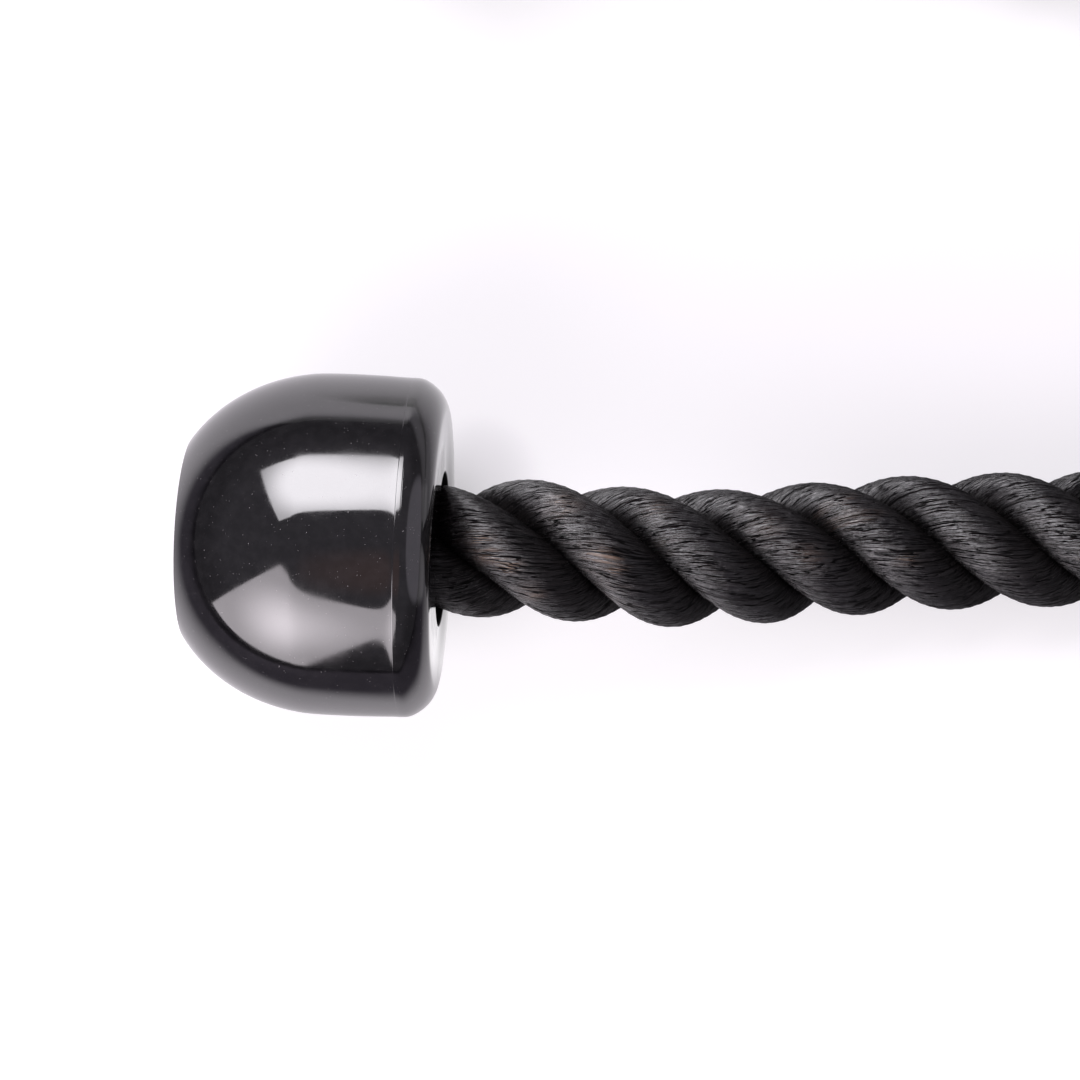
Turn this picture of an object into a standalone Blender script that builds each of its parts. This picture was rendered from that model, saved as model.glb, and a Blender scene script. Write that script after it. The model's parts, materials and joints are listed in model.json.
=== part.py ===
"""Triceps rope attachment, lying on a table.

A length of thick three-strand rope is folded round a steel thimble, and an oval crimped sleeve
holds its two legs together. A jaw with a swivel eye hangs on a pin through the thimble. Each leg
ends in a moulded dome stop, held by a washer and a ferrule crimped on the rope's end.

+X runs from the dome stops towards the eye, +Z is up, and the table is at Z = 0. The origin is
under the middle of the whole. All sizes are in metres.
"""

import math

import bmesh
import bpy
import numpy as np
from mathutils import Matrix, Vector

MM = 0.001
GAP = 0.3 * MM  # clearance between pieces that touch on the real object

# Rope
ROPE_DIAMETER = 28.6 * MM
ROPE_R = ROPE_DIAMETER / 2
ROPE_SPACING = 20 * MM  # between the stations of a free leg
FOLD_SPACING = 6 * MM  # between the stations of the fold
TAIL = 3 * MM  # short first and last stretch of a tube, which sets how its ends face
NECK_LENGTH = 54 * MM  # stretch beside the sleeve that bends when a leg is spread
LEG_RUN = 445 * MM  # along X, from the sleeve's mouth to the face of the dome stop
LEG_OUT = 66 * MM  # along Y, from where the rope leaves the sleeve to the dome stop

# One leg from the sleeve's mouth to the dome stop: shares of LEG_RUN and LEG_OUT, then how much of
# the fitting's and of the dome stop's height above the lying rope is left there.
ROUTE_SHARES = [
    (0.000, 0.000, 1.00, 0.000),
    (0.022, 0.025, 0.99, 0.000),
    (0.067, 0.075, 0.86, 0.000),
    (0.135, 0.150, 0.50, 0.000),
    (0.202, 0.224, 0.17, 0.000),
    (0.270, 0.292, 0.02, 0.000),
    (0.337, 0.358, 0.00, 0.000),
    (0.404, 0.425, 0.00, 0.000),
    (0.506, 0.526, 0.00, 0.000),
    (0.607, 0.626, 0.00, 0.000),
    (0.707, 0.725, 0.00, 0.000),
    (0.748, 0.766, 0.00, 0.008),
    (0.785, 0.806, 0.00, 0.060),
    (0.830, 0.866, 0.00, 0.235),
    (0.855, 0.901, 0.00, 0.385),
    (0.878, 0.929, 0.00, 0.530),
    (0.898, 0.944, 0.00, 0.662),
    (0.920, 0.954, 0.00, 0.800),
    (0.940, 0.960, 0.00, 0.900),
    (0.963, 0.969, 0.00, 0.975),
    (0.982, 0.984, 0.00, 0.998),
    (1.000, 1.000, 0.00, 1.000),
]

# Dome stop
CAP_DIAMETER = 70 * MM
CAP_R = CAP_DIAMETER / 2
CAP_LENGTH = 56.4 * MM  # from the face to where the dome would end without its plug
CAP_YAW = math.radians(4.5)  # how far the dome stop points away from the middle plane
DOME_LENGTH = 33.6 * MM  # from the end to where the side runs straight
DOME_FLAT_R = 6.4 * MM  # radius at which the dome's quarter round starts
FACE_FILLET = 6.9 * MM  # round between the side and the flat face
CAP_BORE_R = 15.6 * MM
POCKET_R = 20.8 * MM
POCKET_FLOOR = 17 * MM  # thickness of the wall that the washer pulls against
CAP_SIDES = 36
DOME_STEPS = 9
FILLET_STEPS = 4

# What closes the dome stop and holds it on the rope
PLUG_LENGTH = 7 * MM
PLUG_CROWN = 1.7 * MM
PLUG_STEPS = 4
PLUG_CLEARANCE = 2 * MM  # between the rope's end and the plug
FERRULE_WALL = 2.6 * MM
FERRULE_GROOVE = 1 * MM  # depth of the crimp round the ferrule's middle
STOP_WASHER_THICKNESS = 2 * MM
ROPE_END_MARGIN = 2 * MM  # rope showing past the ferrule
RING_SIDES = 32

# Thimble and the fold of rope round it
FOLD_R = 28 * MM  # the rope's centreline at the crown
FOLD_LENGTH = 52 * MM  # from the sleeve to the crown's centre
THIMBLE_WALL = 2.7 * MM
THIMBLE_WRAP = math.radians(65)  # how far the groove reaches round the rope, each way
THIMBLE_SPACING = 5 * MM
GROOVE_STEPS = 8

# Sleeve
SLEEVE_LENGTH = 42 * MM
SLEEVE_WALL = 2.6 * MM
SLEEVE_FLARE = 1.5 * MM  # how much the bore opens at each mouth
LEG_SPREAD = 1.76 * MM  # how far each leg has moved out at the mouth
CRIMP_DEPTH = 0.9 * MM
CRIMPS = 2
SLEEVE_STATIONS = 17
SLEEVE_SIDE_STEPS = 12  # around each half round of the oval

# Jaw, its pin and what keeps the pin in
JAW_GAP = 32 * MM
CHEEK = 6 * MM
JAW_WIDTH = 26 * MM
EAR_R = 12 * MM
JAW_REACH = 48.5 * MM  # from the pin to the inner face of the bridge
BRIDGE = 8 * MM
JAW_OUTER_ROUND = 11 * MM
JAW_INNER_ROUND = 6 * MM
JAW_CORNER = 4 * MM
PIN_R = 5 * MM
PIN_HEAD_R = 8 * MM
PIN_HEAD = 3 * MM
PIN_WASHER_R = 8 * MM
PIN_WASHER = 1.2 * MM
PIN_TIP = 3.4 * MM  # from the cotter hole's centre to the pin's end
COTTER_WIRE_R = 0.9 * MM
COTTER_HOLE_R = 2.15 * MM

# Half of the cotter pin from its bent tip to the top of its loop, as shares of the wire's radius:
# the first value is counted outward from the side of the clevis pin, the second one is the height.
COTTER_TIP_SHARES = [(-6.0, 4.6), (-3.0, 2.4), (-1.3, 1.06)]
COTTER_LOOP_SHARES = [(1.3, 1.06), (2.9, 2.1), (5.0, 2.9), (7.0, 2.1), (7.8, 0.0)]

# Swivel eye
EYE_R = 14.5 * MM  # to the middle of the ring's wire
EYE_WIRE_R = 4.5 * MM
COLLAR_R = 9.5 * MM
COLLAR = 3 * MM
COLLAR_OVERLAP = 1.4 * MM  # how deep the ring is set into the collar's neck
NECK_R = 4.1 * MM
SHANK_R = 6 * MM
SHANK_TIP = 0.5 * MM
THRUST_WASHER_R = 9.5 * MM
THRUST_WASHER = 1.5 * MM
NUT_ACROSS_FLATS = 17 * MM
NUT_HEIGHT = 5.5 * MM
EYE_SIDES = 36
EYE_WIRE_SIDES = 12

ROUND_STEPS = 5  # points on a rounded corner
OVERRUN = 5 * MM  # how far a cutter runs past what it cuts

# Heights, and places along X counted from the sleeve's mouth
FIT_Z = JAW_GAP / 2 + CHEEK
LEG_Y = ROPE_R + GAP
EXIT_Y = LEG_Y + LEG_SPREAD
CROWN_X = SLEEVE_LENGTH + FOLD_LENGTH
THIMBLE_R = ROPE_R + GAP
PIN_X = CROWN_X + FOLD_R - THIMBLE_R - THIMBLE_WALL - PIN_R - GAP
BRIDGE_X = PIN_X + JAW_REACH
COLLAR_X = BRIDGE_X + BRIDGE + GAP
EYE_X = COLLAR_X + COLLAR + EYE_R + EYE_WIRE_R - COLLAR_OVERLAP
THRUST_X = BRIDGE_X - GAP - THRUST_WASHER
NUT_X = THRUST_X - GAP - NUT_HEIGHT
TIP_X = EYE_X + EYE_R + EYE_WIRE_R
MOUTH_X = (LEG_RUN + CAP_LENGTH - TIP_X) / 2  # puts the origin under the middle


def clear_scene():
    for obj in list(bpy.data.objects):
        bpy.data.objects.remove(obj, do_unlink=True)


def new_collection(name):
    found = bpy.data.collections.new(name)
    bpy.context.scene.collection.children.link(found)
    return found


def new_material(name, colour, roughness, metallic=0.0):
    material = bpy.data.materials.new(name)
    material.use_nodes = True
    shader = material.node_tree.nodes["Principled BSDF"]
    shader.inputs["Base Color"].default_value = (*colour, 1.0)
    shader.inputs["Roughness"].default_value = roughness
    shader.inputs["Metallic"].default_value = metallic
    return material


def add_object(name, data, material=None):
    obj = bpy.data.objects.new(name, data)
    PARTS.objects.link(obj)
    if material:
        data.materials.append(material)
    return obj


def empty_at(name, place, parent=None):
    """A pivot that the pieces of one moving body hang on."""
    pivot = bpy.data.objects.new(name, None)
    PARTS.objects.link(pivot)
    pivot.empty_display_size = ROPE_R
    pivot.location = place
    if parent:
        hold(pivot, parent)
    return pivot


def hold(piece, parent):
    """Parents a piece without moving it."""
    bpy.context.view_layer.update()
    place = piece.matrix_world.copy()
    piece.parent = parent
    piece.matrix_parent_inverse = parent.matrix_world.inverted()
    piece.matrix_world = place


def smooth_shading(obj):
    obj.data.shade_smooth()
    obj.data.set_sharp_from_angle(angle=math.radians(35))


def mesh_of_curve(obj):
    """The curve as a mesh object of the same name, with its caps welded on."""
    bpy.context.view_layer.update()
    graph = bpy.context.evaluated_depsgraph_get()
    mesh = bpy.data.meshes.new_from_object(obj.evaluated_get(graph))
    work = bmesh.new()
    work.from_mesh(mesh)
    bmesh.ops.remove_doubles(work, verts=work.verts, dist=GAP / 1000)
    bmesh.ops.recalc_face_normals(work, faces=work.faces)
    work.to_mesh(mesh)
    work.free()
    name, place = obj.name, obj.matrix_world.copy()
    bpy.data.objects.remove(obj, do_unlink=True)
    made = bpy.data.objects.new(name, mesh)
    PARTS.objects.link(made)
    made.matrix_world = place
    return made


def poly_spline(curve, points, closed=False):
    spline = curve.splines.new("POLY")
    spline.points.add(len(points) - 1)
    for point, place in zip(spline.points, points):
        point.co = (*place, 1.0)
    spline.use_cyclic_u = closed


def tube(name, points, radius, material, resolution=4):
    curve = bpy.data.curves.new(name, "CURVE")
    curve.dimensions = "3D"
    curve.bevel_depth = radius
    curve.bevel_resolution = resolution
    curve.use_fill_caps = True
    poly_spline(curve, points)
    return add_object(name, curve, material)


def plate(name, outline, thickness, turned=None):
    """A flat outline in X and Y, extruded both ways, as a mesh."""
    curve = bpy.data.curves.new(name, "CURVE")
    curve.dimensions = "2D"
    curve.fill_mode = "BOTH"
    curve.extrude = thickness / 2
    poly_spline(curve, [(x, y, 0.0) for x, y in outline], closed=True)
    obj = add_object(name, curve)
    if turned:
        obj.matrix_world = turned
    return mesh_of_curve(obj)


def turned(name, profile, sides, material=None, closed=False):
    """A profile of (radius, height) turned about Z, given down its outer side."""
    mesh = bpy.data.meshes.new(name)
    work = bmesh.new()
    verts = [work.verts.new((radius, 0.0, height)) for radius, height in profile]
    pairs = list(zip(verts, verts[1:]))
    if closed:
        pairs.append((verts[-1], verts[0]))
    for pair in pairs:
        work.edges.new(pair)
    work.to_mesh(mesh)
    work.free()
    obj = add_object(name, mesh, material)
    screw = obj.modifiers.new("Turn", "SCREW")
    screw.axis = "Z"
    screw.steps = sides
    screw.render_steps = sides
    screw.use_merge_vertices = True
    screw.merge_threshold = GAP / 1000
    return obj


def ring(name, inner, outer, height, material=None, sides=RING_SIDES):
    profile = [(outer, height), (outer, 0.0), (inner, 0.0), (inner, height)]
    return turned(name, profile, sides, material, closed=True)


def rod(name, radius, height, sides=RING_SIDES):
    return turned(name, [(0.0, height), (radius, height), (radius, 0.0), (0.0, 0.0)], sides)


def cut(obj, cutter, operation="DIFFERENCE"):
    PARTS.objects.unlink(cutter)
    CUTTERS.objects.link(cutter)
    cutter.hide_render = True
    cutter.display_type = "WIRE"
    boolean = obj.modifiers.new(cutter.name, "BOOLEAN")
    boolean.operation = operation
    boolean.solver = "EXACT"
    boolean.object = cutter


def along(direction, place):
    """The matrix that turns +Z to a direction and moves the origin to a place."""
    spin = Vector(direction).to_track_quat("Z", "Y").to_matrix().to_4x4()
    return Matrix.Translation(Vector(place)) @ spin


def arc(centre, radius, start, end, steps):
    """Points on an arc in a plane, angles in degrees."""
    return [
        (centre[0] + radius * math.cos(angle), centre[1] + radius * math.sin(angle))
        for angle in np.radians(np.linspace(start, end, steps + 1))
    ]


def spline_through(points):
    """A smooth curve through points, as (place at a distance along the chords, whole length)."""
    points = np.array(points, float)
    steps = np.linalg.norm(np.diff(points, axis=0), axis=1)
    at = np.concatenate([[0.0], np.cumsum(steps)])
    count = len(points)
    matrix = np.eye(count)
    right = np.zeros((count, 3))
    for i in range(1, count - 1):
        before, after = steps[i - 1], steps[i]
        matrix[i, i - 1 : i + 2] = before, 2 * (before + after), after
        right[i] = 6 * ((points[i + 1] - points[i]) / after - (points[i] - points[i - 1]) / before)
    bend = np.linalg.solve(matrix, right)

    def place(distance):
        i = int(np.clip(np.searchsorted(at, distance) - 1, 0, count - 2))
        step, low, high = steps[i], at[i + 1] - distance, distance - at[i]
        curved = (bend[i] * low**3 + bend[i + 1] * high**3) / (6 * step)
        from_start = (points[i] / step - bend[i] * step / 6) * low
        from_end = (points[i + 1] / step - bend[i + 1] * step / 6) * high
        return curved + from_start + from_end

    return place, at[-1]


def stretch(place, start, end, spacing):
    """Points along a smooth curve, with a short first and last stretch."""
    count = max(1, round((end - start - 2 * TAIL) / spacing))
    middle = np.linspace(start + TAIL, end - TAIL, count + 1)
    return [tuple(place(distance)) for distance in (start, *middle, end)]


def fold_line(spacing):
    """The centreline of the fold from one mouth of the sleeve round the thimble to the other,
    as (x, y) counted from the sleeve's mouth."""
    waist = SLEEVE_LENGTH / 2
    mouth = [
        (x, LEG_Y + LEG_SPREAD * ((waist - x) / waist) ** 2)
        for x in (0.0, TAIL, *np.linspace(TAIL, waist, 4)[1:])
    ]
    rise = [
        (
            SLEEVE_LENGTH + FOLD_LENGTH * share,
            LEG_Y + (FOLD_R - LEG_Y) * share**2 * (3 - 2 * share),
        )
        for share in np.linspace(0.0, 1.0, round(FOLD_LENGTH / spacing) + 1)
    ]
    crown = arc((CROWN_X, 0.0), FOLD_R, 90, 0, round(math.pi / 2 * FOLD_R / spacing))
    half = mouth + rise + crown[1:]
    return half + [(x, -y) for x, y in reversed(half[:-1])]


def leg_line(side):
    """The smooth centreline of one leg, from the sleeve's mouth to the dome stop's face."""
    points = [
        (
            MOUTH_X - run * LEG_RUN,
            side * (EXIT_Y + out * LEG_OUT),
            ROPE_R + lift * (FIT_Z - ROPE_R) + cap_lift * (CAP_R - ROPE_R),
        )
        for run, out, lift, cap_lift in ROUTE_SHARES
    ]
    return spline_through(points)


def make_fold(material):
    points = [(MOUTH_X + x, y, FIT_Z) for x, y in fold_line(FOLD_SPACING)]
    return tube("rope_fold", points, ROPE_R, material)


def make_sleeve(material):
    """An oval tube round both legs: a loft of oval sections, flared at the mouths and crimped."""
    half_round = np.linspace(-math.pi / 2, math.pi / 2, SLEEVE_SIDE_STEPS + 1)
    waist = SLEEVE_LENGTH / 2
    work = bmesh.new()
    outer, inner = [], []
    for along_x in np.linspace(0.0, SLEEVE_LENGTH, SLEEVE_STATIONS):
        from_waist = abs(along_x - waist) / waist
        flare = SLEEVE_FLARE * from_waist**4
        spread = LEG_SPREAD * from_waist**2 if along_x < waist else 0.0
        crimp = CRIMP_DEPTH * math.sin(math.pi * CRIMPS * along_x / SLEEVE_LENGTH) ** 2
        bore_r = ROPE_R + GAP + flare
        for rings, radius in ((inner, bore_r), (outer, bore_r + SLEEVE_WALL - crimp)):
            middle = LEG_Y + spread
            side = [
                (middle + radius * math.cos(angle), radius * math.sin(angle))
                for angle in half_round
            ]
            outline = side + [(-y, -z) for y, z in side]
            rings.append(
                [work.verts.new((MOUTH_X + along_x, y, FIT_Z + z)) for y, z in outline]
            )
    around = len(outer[0])
    for i in range(around):
        j = (i + 1) % around
        for here, there in zip(outer, outer[1:]):
            work.faces.new((here[i], here[j], there[j], there[i]))
        for here, there in zip(inner, inner[1:]):
            work.faces.new((here[j], here[i], there[i], there[j]))
        work.faces.new((outer[0][j], outer[0][i], inner[0][i], inner[0][j]))
        work.faces.new((outer[-1][i], outer[-1][j], inner[-1][j], inner[-1][i]))
    bmesh.ops.recalc_face_normals(work, faces=work.faces)
    mesh = bpy.data.meshes.new("clamp_sleeve")
    work.to_mesh(mesh)
    work.free()
    obj = add_object("clamp_sleeve", mesh, material)
    smooth_shading(obj)
    return obj


def make_thimble(material):
    """A grooved strip bent round the crown, swept along the rope's centreline."""
    reach = np.linspace(-THIMBLE_WRAP, THIMBLE_WRAP, GROOVE_STEPS + 1)
    groove = [(THIMBLE_R * math.cos(a), THIMBLE_R * math.sin(a)) for a in reach]
    back_r = THIMBLE_R + THIMBLE_WALL
    back = [(back_r * math.cos(a), back_r * math.sin(a)) for a in reversed(reach)]
    section = bpy.data.curves.new("thimble_section", "CURVE")
    section.dimensions = "2D"
    poly_spline(section, [(x, y, 0.0) for x, y in groove + back], closed=True)
    guide = bpy.data.objects.new("thimble_section", section)
    CUTTERS.objects.link(guide)
    guide.hide_render = True
    path = bpy.data.curves.new("thimble", "CURVE")
    path.dimensions = "3D"
    path.twist_mode = "Z_UP"
    path.bevel_mode = "OBJECT"
    path.bevel_object = guide
    path.use_fill_caps = True
    throat = back_r + GAP
    points = [
        (MOUTH_X + x, y, FIT_Z)
        for x, y in fold_line(THIMBLE_SPACING)
        if x > SLEEVE_LENGTH and abs(y) >= throat or x >= CROWN_X
    ]
    poly_spline(path, points)
    obj = mesh_of_curve(add_object("thimble", path))
    obj.data.materials.append(material)
    smooth_shading(obj)
    return obj


def rounded_outline(corners):
    """An outline through corners, given as (x, y, radius), each rounded by its radius."""
    outline = []
    for i, (x, y, radius) in enumerate(corners):
        here = Vector((x, y))
        before = (Vector(corners[i - 1][:2]) - here).normalized()
        after = (Vector(corners[(i + 1) % len(corners)][:2]) - here).normalized()
        if radius <= 0.0:
            outline.append((x, y))
            continue
        half = before.angle(after) / 2
        start = here + before * radius / math.tan(half)
        end = here + after * radius / math.tan(half)
        centre = here + (before + after).normalized() * radius / math.sin(half)
        first = math.atan2(start.y - centre.y, start.x - centre.x)
        sweep = math.atan2(end.y - centre.y, end.x - centre.x) - first
        sweep = (sweep + math.pi) % math.tau - math.pi
        for step in range(ROUND_STEPS + 1):
            angle = first + sweep * step / ROUND_STEPS
            outline.append(
                (centre.x + radius * math.cos(angle), centre.y + radius * math.sin(angle))
            )
    return outline


def make_jaw(material):
    """Two cheeks and a bridge, cut from a U-shaped bar by the shape it has from above."""
    ear_x = MOUTH_X + PIN_X - EAR_R
    inner_x = MOUTH_X + BRIDGE_X
    outer_x = inner_x + BRIDGE
    half_gap = JAW_GAP / 2
    half_height = half_gap + CHEEK
    u_shape = rounded_outline(
        [
            (ear_x, half_height, 0.0),
            (ear_x, half_gap, 0.0),
            (inner_x, half_gap, JAW_INNER_ROUND),
            (inner_x, -half_gap, JAW_INNER_ROUND),
            (ear_x, -half_gap, 0.0),
            (ear_x, -half_height, 0.0),
            (outer_x, -half_height, JAW_OUTER_ROUND),
            (outer_x, half_height, JAW_OUTER_ROUND),
        ]
    )
    upright = Matrix.Translation((0.0, 0.0, FIT_Z)) @ Matrix.Rotation(math.pi / 2, 4, "X")
    jaw = plate("swivel_jaw", u_shape, JAW_WIDTH + OVERRUN, upright)
    jaw.data.materials.append(material)
    shank_hole = rod("jaw_shank_hole", SHANK_R + GAP, BRIDGE + 2 * OVERRUN)
    shank_hole.matrix_world = along((1, 0, 0), (inner_x - OVERRUN, 0.0, FIT_Z))
    cut(jaw, shank_hole)
    half_width = JAW_WIDTH / 2
    ear = arc((MOUTH_X + PIN_X, 0.0), EAR_R, 90, 270, 2 * ROUND_STEPS)
    planform = ear + rounded_outline(
        [
            (inner_x, -half_width, 0.0),
            (outer_x, -half_width, JAW_CORNER),
            (outer_x, half_width, JAW_CORNER),
            (inner_x, half_width, 0.0),
        ]
    )
    flat = Matrix.Translation((0.0, 0.0, FIT_Z))
    cut(jaw, plate("jaw_planform", planform, 2 * half_height + OVERRUN, flat), "INTERSECT")
    pin_hole = rod("jaw_pin_hole", PIN_R + GAP, 2 * half_height + 2 * OVERRUN)
    pin_hole.location = (MOUTH_X + PIN_X, 0.0, -OVERRUN)
    cut(jaw, pin_hole)
    seat = rod("jaw_pin_seat", PIN_HEAD_R + GAP, PIN_HEAD + GAP + OVERRUN)
    seat.location = (MOUTH_X + PIN_X, 0.0, -OVERRUN)
    cut(jaw, seat)
    return jaw


def make_pin(steel):
    """The clevis pin, its flat head sunk in the lower cheek, with its washer and cotter pin."""
    top = FIT_Z + JAW_GAP / 2 + CHEEK
    loop_height = (max(up for _, up in COTTER_LOOP_SHARES) + 1) * COTTER_WIRE_R
    cotter_z = top + GAP + PIN_WASHER + GAP + loop_height
    pin_end = cotter_z + PIN_TIP
    chamfer = PIN_R / 5
    pin = turned(
        "clevis_pin",
        [
            (0.0, pin_end),
            (PIN_R - chamfer, pin_end),
            (PIN_R, pin_end - chamfer),
            (PIN_R, GAP + PIN_HEAD),
            (PIN_HEAD_R, GAP + PIN_HEAD),
            (PIN_HEAD_R, GAP),
            (0.0, GAP),
        ],
        RING_SIDES,
        steel,
    )
    pin.location = (MOUTH_X + PIN_X, 0.0, 0.0)
    hole = rod("cotter_hole", COTTER_HOLE_R, 2 * PIN_R + 2 * OVERRUN, RING_SIDES // 2)
    hole.matrix_world = along((0, 1, 0), (MOUTH_X + PIN_X, -PIN_R - OVERRUN, cotter_z))
    cut(pin, hole)
    washer = ring("pin_washer", PIN_R + GAP, PIN_WASHER_R, PIN_WASHER, steel)
    washer.location = (MOUTH_X + PIN_X, 0.0, top + GAP)
    half = [(side * COTTER_WIRE_R - PIN_R, up * COTTER_WIRE_R) for side, up in COTTER_TIP_SHARES]
    half += [(side * COTTER_WIRE_R + PIN_R, up * COTTER_WIRE_R) for side, up in COTTER_LOOP_SHARES]
    path = half + [(side, -up) for side, up in reversed(half[:-1])]
    points = [(MOUTH_X + PIN_X, side, cotter_z + up) for side, up in path]
    cotter = tube("cotter_pin", points, COTTER_WIRE_R, steel, resolution=2)
    return pin, washer, cotter


def make_eye(chrome, steel):
    """The swivel eye: a ring on a collared shank that turns in the jaw's bridge."""
    bpy.ops.mesh.primitive_torus_add(
        major_radius=EYE_R,
        minor_radius=EYE_WIRE_R,
        major_segments=EYE_SIDES,
        minor_segments=EYE_WIRE_SIDES,
        location=(MOUTH_X + EYE_X, 0.0, FIT_Z),
    )
    eye = bpy.context.object
    eye.name = "swivel_eye"
    for held in list(eye.users_collection):
        held.objects.unlink(eye)
    PARTS.objects.link(eye)
    eye.data.materials.append(chrome)
    smooth_shading(eye)
    ring_x = EYE_X - EYE_R
    collar_end = COLLAR_X + COLLAR
    shank = turned(
        "eye_shank",
        [
            (0.0, ring_x),
            (NECK_R, ring_x),
            (NECK_R, collar_end),
            (COLLAR_R, collar_end),
            (COLLAR_R, COLLAR_X),
            (SHANK_R, COLLAR_X),
            (SHANK_R, NUT_X - SHANK_TIP),
            (0.0, NUT_X - SHANK_TIP),
        ],
        RING_SIDES,
    )
    shank.matrix_world = along((1, 0, 0), (MOUTH_X, 0.0, FIT_Z))
    cut(eye, shank, "UNION")
    washer = ring("thrust_washer", SHANK_R + GAP, THRUST_WASHER_R, THRUST_WASHER, steel)
    washer.matrix_world = along((1, 0, 0), (MOUTH_X + THRUST_X, 0.0, FIT_Z))
    corner_r = NUT_ACROSS_FLATS / 2 / math.cos(math.pi / 6)
    hexagon = arc((0.0, 0.0), corner_r, 0, 300, 5)
    nut_place = along((1, 0, 0), (MOUTH_X + NUT_X + NUT_HEIGHT / 2, 0.0, FIT_Z))
    nut = plate("shank_nut", hexagon, NUT_HEIGHT, nut_place)
    nut.data.materials.append(steel)
    bore = rod("nut_bore", SHANK_R + GAP, NUT_HEIGHT + 2 * OVERRUN)
    bore.matrix_world = along((1, 0, 0), (MOUTH_X + NUT_X - OVERRUN, 0.0, FIT_Z))
    cut(nut, bore)
    return eye, washer, nut


def cap_radius(height):
    """The dome stop's outer radius at a distance from its dome end."""
    from_side = (DOME_LENGTH - height) / DOME_LENGTH
    if from_side <= 0.0:
        return CAP_R
    return DOME_FLAT_R + (CAP_R - DOME_FLAT_R) * math.sqrt(1 - from_side**2)


def dome_height(radius):
    """The distance from the dome end at which the outer radius is this."""
    share = (radius - DOME_FLAT_R) / (CAP_R - DOME_FLAT_R)
    return DOME_LENGTH * (1 - math.sqrt(1 - share**2))


def make_cap(name, material):
    """The moulded dome stop, turned about Z, with its face at Z = 0 and its dome end at +Z."""
    rim = dome_height(POCKET_R + GAP)
    quarter = np.linspace(math.acos(1 - rim / DOME_LENGTH), math.pi / 2, DOME_STEPS + 1)
    heights = [DOME_LENGTH * (1 - math.cos(angle)) for angle in quarter]
    side = [(cap_radius(height), CAP_LENGTH - height) for height in heights]
    fillet = arc((CAP_R - FACE_FILLET, FACE_FILLET), FACE_FILLET, 0, -90, FILLET_STEPS)
    inside = [
        (CAP_BORE_R, 0.0),
        (CAP_BORE_R, POCKET_FLOOR),
        (POCKET_R, POCKET_FLOOR),
        (POCKET_R, CAP_LENGTH - rim),
    ]
    return turned(name, side + fillet + inside, CAP_SIDES, material, closed=True)


def make_plug(name, material):
    """The crowned disc that closes the dome end."""
    radius = POCKET_R - GAP
    rim = CAP_LENGTH - dome_height(POCKET_R + GAP)
    crown = [
        (radius * share, rim + PLUG_CROWN * (1 - share**2))
        for share in np.linspace(0.0, 1.0, PLUG_STEPS + 1)
    ]
    return turned(name, crown + [(radius, rim - PLUG_LENGTH), (0.0, rim - PLUG_LENGTH)],
                  CAP_SIDES, material)


def make_ferrule(name, length, material):
    """The ring crimped on the rope's end, with a waist where the tool closed."""
    inner = ROPE_R + GAP
    outer = inner + FERRULE_WALL
    quarter = length / 4
    profile = [
        (outer, length),
        (outer, 3 * quarter),
        (outer - FERRULE_GROOVE, 2.5 * quarter),
        (outer - FERRULE_GROOVE, 1.5 * quarter),
        (outer, quarter),
        (outer, 0.0),
        (inner, 0.0),
        (inner, length),
    ]
    return turned(name, profile, RING_SIDES, material, closed=True)


def make_leg(letter, side, clamp, looks):
    """One leg of rope with its dome stop."""
    place, length = leg_line(side)
    pivot = empty_at(f"leg_{letter}_pivot", place(NECK_LENGTH / 2), clamp)
    neck = tube(
        f"rope_neck_{letter}",
        stretch(place, GAP, NECK_LENGTH - GAP / 2, ROPE_SPACING),
        ROPE_R,
        looks["rope"],
    )
    face = Vector(place(length))
    outward = Vector((-math.cos(CAP_YAW), side * math.sin(CAP_YAW), 0.0))
    free = stretch(place, NECK_LENGTH + GAP / 2, length - 2 * TAIL, ROPE_SPACING)
    last = [face - outward * TAIL, face - outward * GAP / 2]
    leg = tube(f"rope_leg_{letter}", free + last, ROPE_R, looks["rope"])
    seat = POCKET_FLOOR + GAP
    ferrule_z = seat + STOP_WASHER_THICKNESS + GAP
    plug_z = CAP_LENGTH - dome_height(POCKET_R + GAP) - PLUG_LENGTH
    end_z = plug_z - PLUG_CLEARANCE
    end = tube(
        f"rope_end_{letter}",
        [face + outward * GAP / 2, face + outward * end_z],
        ROPE_R,
        looks["rope"],
    )
    cap = make_cap(f"end_cap_{letter}", looks["cap"])
    plug = make_plug(f"end_plug_{letter}", looks["cap"])
    washer = ring(
        f"stop_washer_{letter}", ROPE_R + GAP, POCKET_R - GAP, STOP_WASHER_THICKNESS, looks["steel"]
    )
    ferrule_length = end_z - ROPE_END_MARGIN - ferrule_z
    ferrule = make_ferrule(f"crimp_ferrule_{letter}", ferrule_length, looks["ferrule"])
    for piece, height in ((cap, 0.0), (plug, 0.0), (washer, seat), (ferrule, ferrule_z)):
        piece.matrix_world = along(outward, face + outward * height)
    cap_pivot = empty_at(f"cap_{letter}_pivot", face, pivot)
    for piece in (neck, leg, end, washer, ferrule):
        hold(piece, pivot)
    for piece in (cap, plug):
        hold(piece, cap_pivot)


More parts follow.
